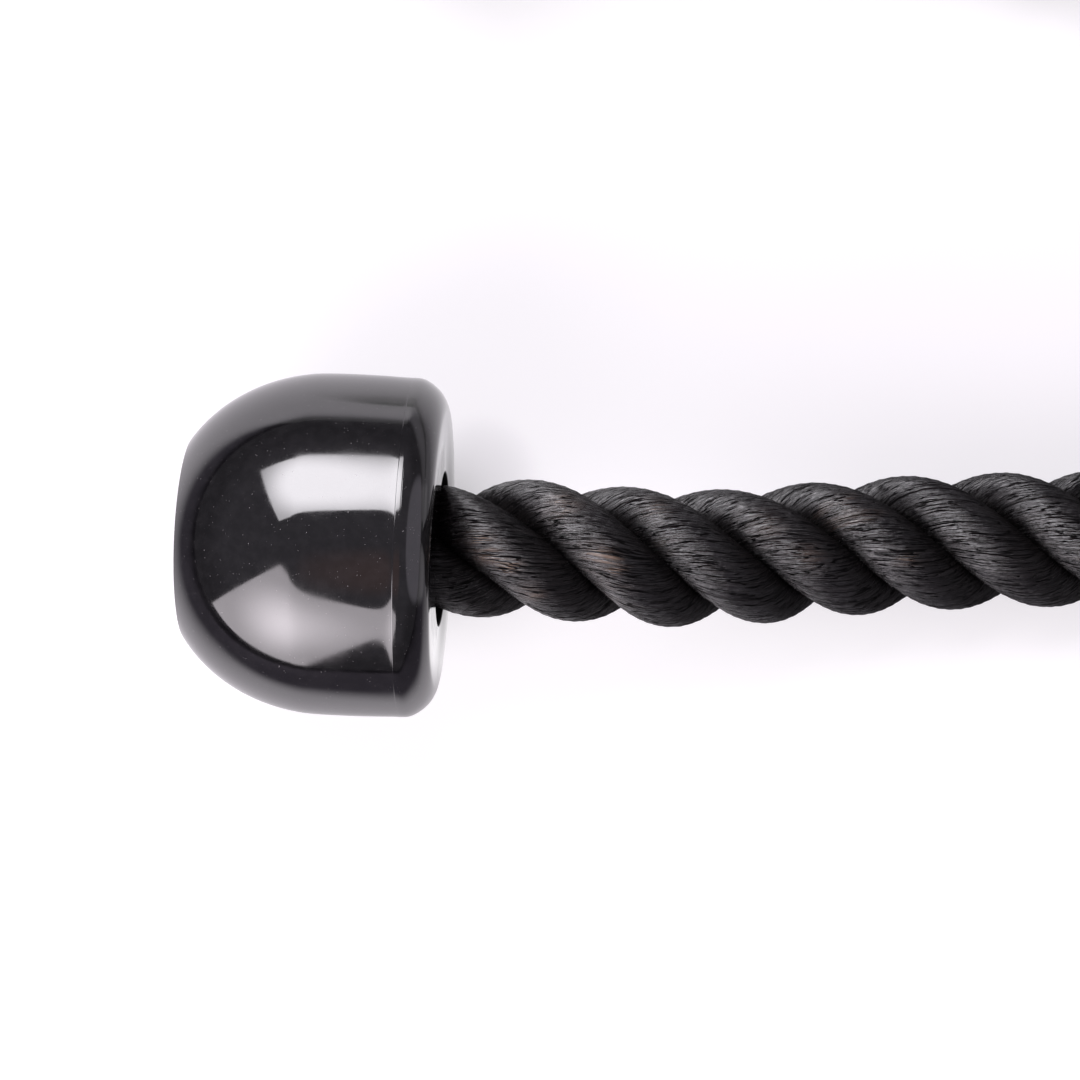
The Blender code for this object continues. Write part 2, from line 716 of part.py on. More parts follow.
def main():
    looks = {
        "rope": new_material("black_rope", (0.018, 0.016, 0.015), 0.6),
        "cap": new_material("black_gloss_moulding", (0.012, 0.012, 0.013), 0.14),
        "chrome": new_material("chrome_plate", (0.62, 0.62, 0.63), 0.12, 1.0),
        "steel": new_material("bright_steel", (0.52, 0.52, 0.53), 0.3, 1.0),
        "ferrule": new_material("aluminium", (0.6, 0.6, 0.61), 0.4, 1.0),
    }
    clamp = empty_at("clamp", (MOUTH_X, 0.0, FIT_Z))
    hold(make_fold(looks["rope"]), clamp)
    hold(make_sleeve(looks["chrome"]), clamp)
    hold(make_thimble(looks["steel"]), clamp)
    jaw_pivot = empty_at("jaw_pivot", (MOUTH_X + PIN_X, 0.0, FIT_Z), clamp)
    hold(make_jaw(looks["chrome"]), jaw_pivot)
    for piece in make_pin(looks["steel"]):
        hold(piece, jaw_pivot)
    eye_pivot = empty_at("eye_pivot", (MOUTH_X + BRIDGE_X, 0.0, FIT_Z), jaw_pivot)
    eye, washer, nut = make_eye(looks["chrome"], looks["steel"])
    hold(eye, eye_pivot)
    hold(nut, eye_pivot)
    hold(washer, jaw_pivot)
    make_leg("a", -1, clamp, looks)
    make_leg("b", 1, clamp, looks)


clear_scene()
PARTS = new_collection("triceps_rope")
CUTTERS = new_collection("cutters")
main()
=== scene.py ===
"""Triceps rope attachment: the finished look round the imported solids, in metres."""

import json
import math

import bmesh
import bpy
import numpy as np
from mathutils import Matrix, Vector

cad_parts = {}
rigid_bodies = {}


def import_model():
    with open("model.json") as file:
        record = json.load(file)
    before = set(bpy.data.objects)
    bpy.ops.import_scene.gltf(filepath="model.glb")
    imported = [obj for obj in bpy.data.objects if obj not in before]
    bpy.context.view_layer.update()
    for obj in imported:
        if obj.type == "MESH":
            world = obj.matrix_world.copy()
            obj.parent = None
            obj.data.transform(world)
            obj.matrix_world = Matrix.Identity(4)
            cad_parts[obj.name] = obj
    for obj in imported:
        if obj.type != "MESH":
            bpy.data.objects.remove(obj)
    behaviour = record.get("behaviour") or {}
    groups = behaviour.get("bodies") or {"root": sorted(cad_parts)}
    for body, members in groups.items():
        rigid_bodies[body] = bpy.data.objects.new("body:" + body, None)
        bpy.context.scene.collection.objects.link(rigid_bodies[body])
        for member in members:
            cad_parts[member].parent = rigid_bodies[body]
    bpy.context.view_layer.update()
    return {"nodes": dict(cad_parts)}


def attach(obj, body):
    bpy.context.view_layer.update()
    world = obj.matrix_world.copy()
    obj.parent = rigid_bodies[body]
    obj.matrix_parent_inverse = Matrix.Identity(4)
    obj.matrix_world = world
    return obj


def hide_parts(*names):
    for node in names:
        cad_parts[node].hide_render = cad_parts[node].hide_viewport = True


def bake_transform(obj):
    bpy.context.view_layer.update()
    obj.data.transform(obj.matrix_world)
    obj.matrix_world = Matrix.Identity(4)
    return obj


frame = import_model()

MM = 0.001
TURN = math.tau

# Leg, fold and fitting, as the solids have them
ROPE_R = 14.3 * MM
GAP = 0.3 * MM
LEG_RUN = 445 * MM
LEG_OUT = 66 * MM
NECK_LENGTH = 54 * MM
SLEEVE_LENGTH = 42 * MM
LEG_SPREAD = 1.76 * MM
FOLD_LENGTH = 52 * MM
FOLD_R = 28 * MM
CAP_R = 35 * MM
CAP_LENGTH = 56.4 * MM
CAP_YAW = math.radians(4.5)
FIT_Z = 22 * MM
LEG_Y = ROPE_R + GAP
EXIT_Y = LEG_Y + LEG_SPREAD
MOUTH_X = 152.8 * MM
CROWN_X = MOUTH_X + SLEEVE_LENGTH + FOLD_LENGTH
TAIL = 3 * MM
PATH_SPACING = 2 * MM
ROUTE_SPACING = 8 * MM
# One leg from the sleeve's mouth to the dome stop: shares of LEG_RUN and LEG_OUT, then how much of
# the fitting's and of the dome stop's height above the lying rope is left there
ROUTE_SHARES = [
    (0.000, 0.000, 1.00, 0.000),
    (0.022, 0.025, 0.99, 0.000),
    (0.067, 0.075, 0.86, 0.000),
    (0.135, 0.150, 0.50, 0.000),
    (0.202, 0.224, 0.17, 0.000),
    (0.270, 0.292, 0.02, 0.000),
    (0.337, 0.358, 0.00, 0.000),
    (0.404, 0.425, 0.00, 0.000),
    (0.506, 0.526, 0.00, 0.000),
    (0.607, 0.626, 0.00, 0.000),
    (0.707, 0.725, 0.00, 0.000),
    (0.748, 0.766, 0.00, 0.008),
    (0.785, 0.806, 0.00, 0.060),
    (0.830, 0.866, 0.00, 0.235),
    (0.855, 0.901, 0.00, 0.385),
    (0.878, 0.929, 0.00, 0.530),
    (0.898, 0.944, 0.00, 0.662),
    (0.920, 0.954, 0.00, 0.800),
    (0.940, 0.960, 0.00, 0.900),
    (0.963, 0.969, 0.00, 0.975),
    (0.982, 0.984, 0.00, 0.998),
    (1.000, 1.000, 0.00, 1.000),
]

# Lay of the rope
PITCH = 60.5 * MM
STRANDS = 3
LAY_R = 7.7 * MM
STRAND_R = 6.6 * MM
STRAND_SIDES = 72
UNEVENNESS = 0.12 * MM
YARN_TURNS = -2.5
BUNDLE_SPREAD = 3.2  # how many bundles of yarn a strand has across, about
BUNDLE_LENGTH = 14 * MM
RING_SPACING = 1.5 * MM
START_IN_SLEEVE = 12 * MM
ROPE_IN_CAP = 42.6 * MM
NARROW_AHEAD = 12 * MM
NEVER = 10.0  # further along than any rope runs
NARROW_OVER = 14 * MM
NARROW_SHARE = 0.93
TABLE_CLEARANCE = 0.05 * MM
LEG_PHASE = -0.059  # turns the strands to where the photograph has them
FOLD_PHASE = 0.1
PAINTED_SHEEN_LEAN = 0.52  # how far the painted sheen and painted shade lean to one side of a strand's crown, in radians

# Sleeve and thimble
SLEEVE_WALL = 2.6 * MM
SLEEVE_FLARE = 1.5 * MM
CRIMP_DEPTH = 0.9 * MM
CRIMPS = 2
THIMBLE_R = ROPE_R + GAP
THIMBLE_WALL = 2.7 * MM
THIMBLE_WRAP = math.radians(65)
THIMBLE_START_SHARE = 0.4
THIMBLE_SPACING = 1.5 * MM

# Jaw, its pin and the swivel eye
JAW_GAP = 32 * MM
CHEEK = 6 * MM
JAW_WIDTH = 26 * MM
EAR_R = 12 * MM
JAW_REACH = 48.5 * MM
BRIDGE = 8 * MM
JAW_OUTER_ROUND = 11 * MM
JAW_INNER_ROUND = 6 * MM
JAW_CORNER = 4 * MM
JAW_EASE = 0.7 * MM
PIN_R = 5 * MM
PIN_HEAD_R = 8 * MM
PIN_HEAD = 3 * MM
PIN_CHAMFER = 1 * MM
PIN_EASE = 0.35 * MM
PIN_WASHER_R = 8 * MM
PIN_WASHER = 1.2 * MM
PIN_WASHER_EASE = 0.2 * MM
PIN_TIP = 3.4 * MM
WIRE_R = 0.9 * MM
COTTER_HOLE_R = 2.15 * MM
COTTER_STEP = MM / 9
COTTER_TIP_SHARES = [(-6.0, 4.6), (-3.0, 2.4), (-1.3, 1.06)]
COTTER_LOOP_SHARES = [(1.3, 1.06), (2.9, 2.1), (5.0, 2.9), (7.0, 2.1), (7.8, 0.0)]
EYE_R = 14.5 * MM
EYE_WIRE_R = 4.5 * MM
COLLAR_R = 9.5 * MM
COLLAR = 3 * MM
COLLAR_OVERLAP = 1.4 * MM
NECK_R = 4.1 * MM
NECK_INSET = 0.4 * MM
NECK_BLEND = 3.2 * MM
EYE_GRAIN = 0.35 * MM
COLLAR_EASE = 0.5 * MM
SHANK_R = 6 * MM
SHANK_TIP = 0.5 * MM
THRUST_WASHER_R = 9.5 * MM
THRUST_WASHER = 1.5 * MM
THRUST_EASE = 0.25 * MM
NUT_ACROSS_FLATS = 17 * MM
NUT_HEIGHT = 5.5 * MM
NUT_CHAMFER = math.radians(30)
NUT_EASE = 0.4 * MM
NUT_MARGIN = 1 * MM
PIN_X = CROWN_X + FOLD_R - THIMBLE_R - THIMBLE_WALL - PIN_R - GAP
BRIDGE_X = PIN_X + JAW_REACH
COLLAR_X = BRIDGE_X + BRIDGE + GAP
EYE_X = COLLAR_X + COLLAR + EYE_R + EYE_WIRE_R - COLLAR_OVERLAP
THRUST_X = BRIDGE_X - GAP - THRUST_WASHER
NUT_X = THRUST_X - GAP - NUT_HEIGHT
OVERRUN = 5 * MM
SHARP_ANGLE = math.radians(35)
EASED_ANGLE = math.radians(40)
ROUND_SIDES = 64
COTTER_HOLE_SIDES = 32
NUT_SIDES = 96

# The photograph: how its picture lies over the object, and where the rope is worn brown,
# as places and reaches in its pixels and how deep the wear is
IMAGE_SIZE = 1080
WORN_PIXELS = [
    (486, 540, 10, 0.7),
    (495, 555, 9, 0.9),
    (512, 566, 8, 1.0),
    (533, 592, 9, 0.5),
    (565, 505, 13, 0.45),
    (597, 552, 9, 0.7),
    (612, 560, 7, 1.0),
    (619, 571, 6, 0.9),
    (655, 508, 11, 0.35),
    (765, 528, 15, 0.22),
    (812, 553, 15, 0.25),
    (848, 500, 9, 0.25),
    (911, 558, 7, 0.8),
]
IMAGE_TURN = math.radians(7.0)
VIEW_TILT = math.radians(2.7)
VIEW_DISTANCE = 0.6
VIEW_WIDTH = 220.8 * MM
VIEW_RIGHT_OF_FACE = 20.02 * MM
VIEW_ABOVE_FACE = 1.82 * MM
SENSOR = 36

# Colours
BLACK_YARN = (0.0010, 0.0008, 0.0010, 1.0)
GREY_YARN = (0.0042, 0.0032, 0.0030, 1.0)
WORN_YARN = (0.20, 0.127, 0.083, 1.0)
# Painted shade on the rope: the dull dark copy in its cracks, hollows, valleys and shaded flank,
# darker along the cracks
PAINTED_SHADE_CRACK = (0.0018, 0.0015, 0.0017, 1.0)
PAINTED_SHADE_YARN = (0.0125, 0.0106, 0.0110, 1.0)
BLACK_MOULDING = (0.0028, 0.0026, 0.0030, 1.0)
HAZY_MOULDING = (0.0085, 0.0080, 0.0088, 1.0)
DUST = (0.30, 0.28, 0.29, 1.0)
# Painted shade inside the dome stop's bore
BORE_SHADE_BLACK = (0.0030, 0.0028, 0.0032, 1.0)
CHROME_COLOUR = (0.75, 0.75, 0.77)
STEEL_COLOUR = (0.62, 0.62, 0.60)
ALLOY_COLOUR = (0.66, 0.66, 0.68)
BLACK = (0.0, 0.0, 0.0, 1.0)
WHITE = (1.0, 1.0, 1.0, 1.0)
FLOOR_WHITE = (1.0, 0.99, 1.0, 1.0)
SHEET_COLOUR = (0.50, 0.485, 0.51, 1.0)
BEYOND_COLOUR = (0.10, 0.094, 0.112, 1.0)
ROOM_TINT = (0.93, 0.87, 1.0, 1.0)
WARM_TINT = (1.55, 1.1, 1.1, 1.0)
STRONG_GLOSS = (1.6, 1.0)  # index of refraction and specular level

# Room and floor
SOFTBOX_EDGE_SHARE = 0.42
ROOM_LOW, ROOM_HIGH = 0.10, 0.185
WALL_RISE = math.radians(14)
WALL_STRENGTH = 0.55
FLOOR_REACH = 4.0
SHEET_STRENGTH = 0.42
RUNNER_STRENGTH = 0.55
# Painted light: how bright the floor glows far to the sides
ASIDE_STRENGTH = 0.72


def sign(operation, swapped=False):
    """The method behind one of Python's signs."""

    def method(self, other):
        return self.reckon(operation, *((other, self) if swapped else (self, other)))

    return method


class Value:
    """An output of a node, which Python's own signs add nodes to."""

    __add__ = sign("ADD")
    __sub__ = sign("SUBTRACT")
    __rsub__ = sign("SUBTRACT", swapped=True)
    __truediv__ = sign("DIVIDE")
    __rtruediv__ = sign("DIVIDE", swapped=True)
    __pow__ = sign("POWER")

    def __init__(self, graph, node, output):
        self.graph, self.node = graph, node
        self.socket = node.outputs[output] if len(node.outputs) else None

    def out(self, output):
        return Value(self.graph, self.node, output)

    def reckon(self, operation, *items):
        flat = [item for item in items if isinstance(item, Value)]
        vector = any(item.socket.type in ("VECTOR", "RGBA") for item in flat)
        kind = "ShaderNodeVectorMath" if vector else "ShaderNodeMath"
        output = "Value" if operation in ("LENGTH", "DOT_PRODUCT") else 0
        inputs = dict(enumerate(items))
        if operation == "SCALE":
            inputs = {0: items[0], "Scale": items[1]}
        return self.graph.node(kind, {"operation": operation}, inputs, output)

    def __mul__(self, other):
        here = self.socket.type in ("VECTOR", "RGBA")
        there = isinstance(other, Value) and other.socket.type in ("VECTOR", "RGBA")
        number = isinstance(other, (int, float))
        if here and (number or (isinstance(other, Value) and not there)):
            return self.reckon("SCALE", self, other)
        if there and not here:
            return self.reckon("SCALE", other, self)
        return self.reckon("MULTIPLY", self, other)

    __rmul__ = __mul__

    def __neg__(self):
        return self * -1.0


class Graph:
    """Adds nodes to a tree and joins them."""

    def __init__(self, tree):
        self.tree = tree

    def feed(self, socket, item):
        if isinstance(item, Value):
            self.tree.links.new(item.socket, socket)
        else:
            socket.default_value = item

    def node(self, kind, settings=(), inputs=(), output=0):
        made = self.tree.nodes.new(kind)
        for name, setting in dict(settings).items():
            setattr(made, name, setting)
        for name, item in dict(inputs).items():
            self.feed(made.inputs[name], item)
        return Value(self, made, output)

    def math(self, operation, *items):
        return self.node("ShaderNodeMath", {"operation": operation}, dict(enumerate(items)))

    def vector(self, x=0.0, y=0.0, z=0.0):
        return self.node("ShaderNodeCombineXYZ", (), {0: x, 1: y, 2: z})

    def smooth(self, item, low, high, start=0.0, end=1.0):
        """Runs from start to end as item goes from low to high."""
        return self.node(
            "ShaderNodeMapRange",
            {"interpolation_type": "SMOOTHSTEP"},
            {0: item, 1: low, 2: high, 3: start, 4: end},
        )

    def noise(self, place, scale, detail=2.0, roughness=0.5):
        looks = {"Vector": place, "Scale": scale, "Detail": detail, "Roughness": roughness}
        return self.node("ShaderNodeTexNoise", (), looks)

    def split(self, place):
        parts = self.node("ShaderNodeSeparateXYZ", (), {0: place})
        return parts, parts.out(1), parts.out(2)

    def read(self, name, output="Fac"):
        """What the points of a piece carry under a name."""
        return self.node("ShaderNodeAttribute", {"attribute_name": name}, (), output)

    def store(self, geometry, name, kind, domain, item):
        """Makes the points or instances carry an item under a name."""
        settings = {"data_type": kind, "domain": domain}
        inputs = {0: geometry, "Name": name, "Value": item}
        return self.node("GeometryNodeStoreNamedAttribute", settings, inputs)

    def where(self, output="Object"):
        return self.node("ShaderNodeTexCoord", (), (), output)

    def bump(self, height, strength, distance):
        looks = {"Strength": strength, "Distance": distance, "Height": height}
        return self.node("ShaderNodeBump", (), looks)

    def painted_shade_shader(self, colour):
        """A surface with almost no gloss, used as painted shade."""
        looks = {"Base Color": colour, "Roughness": 0.85, "Specular IOR Level": 0.06}
        return self.node("ShaderNodeBsdfPrincipled", (), looks)

    def join(self, material, shader, other, share):
        """Gives the material its shader, with the other one where share is 1."""
        surface = self.node("ShaderNodeMixShader", (), {0: share, 2: other})
        self.tree.links.new(shader.outputs[0], surface.node.inputs[1])
        self.feed(material.node_tree.nodes["Material Output"].inputs["Surface"], surface)

    def mix(self, share, first, second):
        """A colour between two colours."""
        inputs = {0: share, 6: first, 7: second}
        return self.node("ShaderNodeMix", {"data_type": "RGBA"}, inputs, 2)


def new_tree(name, counts, sizes):
    """A geometry tree with named counts, sizes and a material as its inputs."""
    tree = bpy.data.node_groups.new(name, "GeometryNodeTree")
    kinds = [("Geometry", "Geometry")] + [(label, "Int") for label in counts]
    kinds += [(label, "Float") for label in sizes] + [("Material", "Material")]
    for label, kind in kinds:
        tree.interface.new_socket(label, in_out="INPUT", socket_type=f"NodeSocket{kind}")
    tree.interface.new_socket("Geometry", in_out="OUTPUT", socket_type="NodeSocketGeometry")
    graph = Graph(tree)
    return tree, graph, graph.node("NodeGroupInput")


def end_tree(graph, start, geometry):
    """Shades the geometry smooth, gives it the material and hands it out."""
    geometry = graph.node("GeometryNodeSetShadeSmooth", (), {0: geometry})
    inputs = {0: geometry, "Material": start.out("Material")}
    graph.node("NodeGroupOutput", (), {0: graph.node("GeometryNodeSetMaterial", (), inputs)})


def spline_through(points):
    """A smooth curve through points, as (place at a distance along the chords, whole length)."""
    points = np.array(points, float)
    steps = np.linalg.norm(np.diff(points, axis=0), axis=1)
    at = np.concatenate([[0.0], np.cumsum(steps)])
    count = len(points)
    matrix = np.eye(count)
    right = np.zeros((count, 3))
    for i in range(1, count - 1):
        before, after = steps[i - 1], steps[i]
        matrix[i, i - 1 : i + 2] = before, 2 * (before + after), after
        right[i] = 6 * ((points[i + 1] - points[i]) / after - (points[i] - points[i - 1]) / before)
    bend = np.linalg.solve(matrix, right)

    def place(distance):
        i = int(np.clip(np.searchsorted(at, distance) - 1, 0, count - 2))
        step, low, high = steps[i], at[i + 1] - distance, distance - at[i]
        curved = (bend[i] * low**3 + bend[i + 1] * high**3) / (6 * step)
        from_start = (points[i] / step - bend[i] * step / 6) * low
        from_end = (points[i + 1] / step - bend[i + 1] * step / 6) * high
        return curved + from_start + from_end

    return place, at[-1]


def leg_line(side):
    points = []
    for run, out, lift, cap_lift in ROUTE_SHARES:
        height = ROPE_R + lift * (FIT_Z - ROPE_R) + cap_lift * (CAP_R - ROPE_R)
        points.append((MOUTH_X - run * LEG_RUN, side * (EXIT_Y + out * LEG_OUT), height))
    return spline_through(points)


def cap_place(side):
    """Where the dome stop's face is, and which way it points."""
    place, length = leg_line(side)
    outward = Vector((-math.cos(CAP_YAW), side * math.sin(CAP_YAW), 0.0))
    return Vector(place(length)), outward


def sleeve_y(x):
    """How far a leg is from the middle plane, at a distance inside the sleeve."""
    waist = SLEEVE_LENGTH / 2
    return LEG_Y + (LEG_SPREAD * ((waist - x) / waist) ** 2 if x < waist else 0.0)


def leg_path(side):
    """The rope's centreline from inside the sleeve to its end inside the dome stop."""
    place, length = leg_line(side)
    face, outward = cap_place(side)
    inside = [
        (MOUTH_X + x, side * sleeve_y(x), FIT_Z)
        for x in np.linspace(START_IN_SLEEVE, 0.0, 5, endpoint=False)
    ]
    count = round(length / ROUTE_SPACING)
    free = [tuple(place(d)) for d in np.linspace(0.0, length - 4 * TAIL, count)]
    end = [tuple(face + outward * d) for d in np.linspace(-TAIL, ROPE_IN_CAP, 5)]
    whole, reach = spline_through(inside + free + end)
    return [tuple(whole(d)) for d in np.linspace(0.0, reach, round(reach / PATH_SPACING))]


def fold_half(start_share, spacing):
    """The rope's centreline from a place between sleeve and thimble to the crown, as (x, y)."""
    count = round(FOLD_LENGTH * (1 - start_share) / spacing)
    rise = [
        (
            MOUTH_X + SLEEVE_LENGTH + FOLD_LENGTH * share,
            LEG_Y + (FOLD_R - LEG_Y) * share**2 * (3 - 2 * share),
        )
        for share in np.linspace(start_share, 1.0, count)
    ]
    crown = [
        (CROWN_X + FOLD_R * math.cos(angle), FOLD_R * math.sin(angle))
        for angle in np.linspace(math.pi / 2, 0.0, round(FOLD_R * 1.5 / spacing))[1:]
    ]
    return rise + crown


def both_halves(half):
    """A half of the fold and its mirror image, at the fitting's height."""
    return [(x, y, FIT_Z) for x, y in half + [(x, -y) for x, y in reversed(half[:-1])]]


def fold_path():
    """The rope's centreline in the sleeve and round the thimble."""
    inside = [
        (MOUTH_X + x, sleeve_y(x))
        for x in np.linspace(START_IN_SLEEVE + GAP, SLEEVE_LENGTH, 16, endpoint=False)
    ]
    return both_halves(inside + fold_half(0.0, PATH_SPACING))


def rope_tree():
    """Lays strands of yarns round the line that the edges of the input make."""
    counts = ("Strands", "Sides", "Rings")
    sizes = ("Lay Radius", "Strand Radius", "Pitch", "Phase", "Unevenness", "Yarn Turns")
    sizes += ("Narrow From", "Narrow Over", "Narrow Share", "Table")
    tree, graph, start = new_tree("laid_rope", counts, sizes)

    curve = graph.node("GeometryNodeMeshToCurve", (), {0: start.out("Geometry")})
    curve = graph.node("GeometryNodeSetCurveNormal", {"mode": "Z_UP"}, {0: curve})
    length = graph.node("GeometryNodeCurveLength", (), {0: curve})

    rows = {"Vertices": start.out("Sides"), "Side Segments": start.out("Rings")}
    rows |= {"Radius": 1.0, "Depth": 1.0}
    tube = graph.node("GeometryNodeMeshCylinder", {"fill_type": "TRIANGLE_FAN"}, rows)
    one_each = {"Count": start.out("Strands"), "Offset": (0.0, 0.0, 0.0)}
    one_each = graph.node("GeometryNodeMeshLine", (), one_each)
    strands = graph.node("GeometryNodeInstanceOnPoints", (), {0: one_each, "Instance": tube})
    index = graph.node("GeometryNodeInputIndex") * 1.0
    strands = graph.store(strands, "strand", "FLOAT", "INSTANCE", index)
    strands = graph.node("GeometryNodeRealizeInstances", (), {0: strands})
    strand = graph.node("GeometryNodeInputNamedAttribute", (), {"Name": "strand"})

    x, y, z = graph.split(graph.node("GeometryNodeInputPosition"))
    along = (z + 0.5) * length
    round_yarns = graph.math("ARCTAN2", y, x)
    yarn_x, yarn_y = graph.math("COSINE", round_yarns), graph.math("SINE", round_yarns)
    rim = (x * x + y * y) ** 0.5
    turns = along / start.out("Pitch")
    lay = (turns + strand / start.out("Strands") + start.out("Phase")) * TURN
    around = round_yarns + turns * start.out("Yarn Turns") * TURN

    # The line's own place, direction and two sides at this distance
    sample = graph.node(
        "GeometryNodeSampleCurve",
        {"mode": "LENGTH", "use_all_curves": True},
        {"Curves": curve, "Length": along},
        "Position",
    )
    tangent, normal = sample.out("Tangent"), sample.out("Normal")
    side = tangent.reckon("CROSS_PRODUCT", tangent, normal)
    cosine, sine = graph.math("COSINE", lay), graph.math("SINE", lay)
    outward = normal * cosine + side * sine
    forward = side * cosine - normal * sine

    # The strand's own direction, and the side of it that lies across the rope
    slope = start.out("Lay Radius") * (TURN / start.out("Pitch"))
    stretch = (slope * slope + 1.0) ** 0.5
    across = (forward - tangent * slope) * (1.0 / stretch)

    # Bundles of yarn that stand a little proud of each other
    bundle_x = yarn_x * BUNDLE_SPREAD + strand * 5.0
    here = graph.vector(bundle_x, yarn_y * BUNDLE_SPREAD, along / BUNDLE_LENGTH)
    bundles = graph.noise(here, 1.6)
    begin = start.out("Narrow From")
    ends = (begin, begin + start.out("Narrow Over"), 1.0, start.out("Narrow Share"))
    narrow = graph.smooth(along, *ends)
    radius = start.out("Strand Radius") + start.out("Unevenness") * (bundles * 2.0 - 1.2)
    radius = radius * rim
    reach = (start.out("Lay Radius") + radius * graph.math("COSINE", around)) * narrow
    moved = sample + outward * reach + across * (radius * graph.math("SINE", around) * narrow)
    x, y, z = graph.split(moved)
    moved = graph.vector(x, y, graph.math("MAXIMUM", z, start.out("Table")))

    # What the material reads: place on the strand in metres, and how far out of the valley it is,
    # leant to one side so that the material paints shade in the valleys and on one flank and leaves
    # the sheen on the other
    here = graph.vector(yarn_x * STRAND_R, yarn_y * STRAND_R, along + strand * 0.9)
    # Painted sheen and shade: the crown measure is leant to one flank, so one flank stays glossy
    # and the other gets painted shade
    crown = graph.math("COSINE", around + PAINTED_SHEEN_LEAN)
    strands = graph.store(strands, "yarn_place", "FLOAT_VECTOR", "POINT", here)
    strands = graph.store(strands, "crown", "FLOAT", "POINT", crown)
    strands = graph.node("GeometryNodeSetPosition", (), {0: strands, "Position": moved})
    end_tree(graph, start, strands)
    return tree


def add_object(name, data):
    obj = bpy.data.objects.new(name, data)
    bpy.context.scene.collection.objects.link(obj)
    return obj


def with_modifiers(obj):
    """The mesh that an object's modifiers make of it."""
    graph = bpy.context.evaluated_depsgraph_get()
    return bpy.data.meshes.new_from_object(obj.evaluated_get(graph))


def grown(name, tree, mesh, sizes):
    """The mesh that a geometry tree makes from a mesh, as a plain object."""
    source = add_object(name + "_line", mesh)
    modifier = source.modifiers.new("grow", "NODES")
    modifier.node_group = tree
    for item in tree.interface.items_tree:
        if item.in_out == "INPUT" and item.name in sizes:
            modifier[item.identifier] = sizes[item.name]
    made = with_modifiers(source)
    made.name = name
    bpy.data.objects.remove(source, do_unlink=True)
    return add_object(name, made)


def line_mesh(name, points):
    mesh = bpy.data.meshes.new(name)
    mesh.from_pydata(points, [(i, i + 1) for i in range(len(points) - 1)], [])
    return mesh


def path_length(points):
    return float(np.linalg.norm(np.diff(np.array(points), axis=0), axis=1).sum())


def laid_rope(name, tree, points, material, phase, narrow_from=NEVER):
    sizes = {
        "Strands": STRANDS,
        "Sides": STRAND_SIDES,
        "Rings": round(path_length(points) / RING_SPACING),
        "Lay Radius": LAY_R,
        "Strand Radius": STRAND_R,
        "Pitch": PITCH,
        "Phase": phase,
        "Unevenness": UNEVENNESS,
        "Yarn Turns": YARN_TURNS,
        "Narrow From": narrow_from,
        "Narrow Over": NARROW_OVER,
        "Narrow Share": NARROW_SHARE,
        "Table": TABLE_CLEARANCE,
        "Material": material,
    }
    return grown(name, tree, line_mesh(name, points), sizes)


def new_material(name):
    material = bpy.data.materials.new(name)
    material.use_nodes = True
    return material, Graph(material.node_tree), material.node_tree.nodes["Principled BSDF"]


def polish(graph, shader, colour, roughness, bump, gloss=None):
    """What varies over a surface, and how glossy it is as a whole."""
    for name, item in (("Base Color", colour), ("Roughness", roughness), ("Normal", bump)):
        graph.feed(shader.inputs[name], item)
    if gloss:
        for name, item in zip(("IOR", "Specular IOR Level"), gloss):
            shader.inputs[name].default_value = item


def fibre_material():
    """Black filament yarn: bright filaments, painted shade along the cracks between yarns, in the
    hollows, in the valleys and on one flank of each strand, and brown wear.
    """
    material, graph, shader = new_material("rope_filament")
    place = graph.read("yarn_place", "Vector")
    wander = graph.noise(place, 150.0, 1.0, 0.5) - 0.5
    drawn = (place + wander * 0.0010) * (1.0, 1.0, 0.06)
    streaks = graph.noise(drawn, 2300.0, 3.0, 0.65)
    bundles = graph.noise(drawn, 640.0, 2.0, 0.5)
    ridge = graph.noise(drawn * (1.0, 1.0, 2.2), 1400.0, 1.0, 0.5)
    # Painted shade: the cracks between yarns, the hollows between bundles and, by the leant crown
    # measure, the valleys and one flank of each strand turn to a dull dark copy
    crack = graph.smooth(graph.math("ABSOLUTE", ridge - 0.5), 0.010, 0.045)
    unshaded_bundles = graph.smooth(bundles, 0.24, 0.40)
    unshaded_share = crack * unshaded_bundles * graph.smooth(graph.read("crown"), 0.3, 1.0, 0.26, 1.0)
    bump = graph.bump(streaks + bundles * 0.8 + crack * 0.4, 1.0, 0.45 * MM)
    tint = graph.mix(graph.smooth(bundles, 0.4, 0.65), BLACK_YARN, GREY_YARN)
    patch = graph.smooth(graph.noise(place, 60.0, 3.0, 0.62), 0.62, 0.74)
    broken = graph.smooth(streaks, 0.42, 0.56)
    brown = graph.math("MAXIMUM", graph.read("worn"), patch * 0.22) * broken * unshaded_share
    glint = graph.noise(place * (1.0, 1.0, 0.3), 1700.0, 1.0, 0.5)
    glint = graph.smooth(glint, 0.4, 0.62, 0.26, 0.11)
    polish(graph, shader, graph.mix(brown, tint, WORN_YARN), glint, bump, STRONG_GLOSS)
    # The painted shade: a dull dark copy of the yarn, darker along the cracks
    lines = crack * graph.smooth(streaks, 0.36, 0.6)
    shadow = graph.painted_shade_shader(graph.mix(lines, PAINTED_SHADE_CRACK, PAINTED_SHADE_YARN))
    graph.feed(shadow.node.inputs["Normal"], bump)
    graph.join(material, shader, shadow, 1.0 - unshaded_share)
    return material


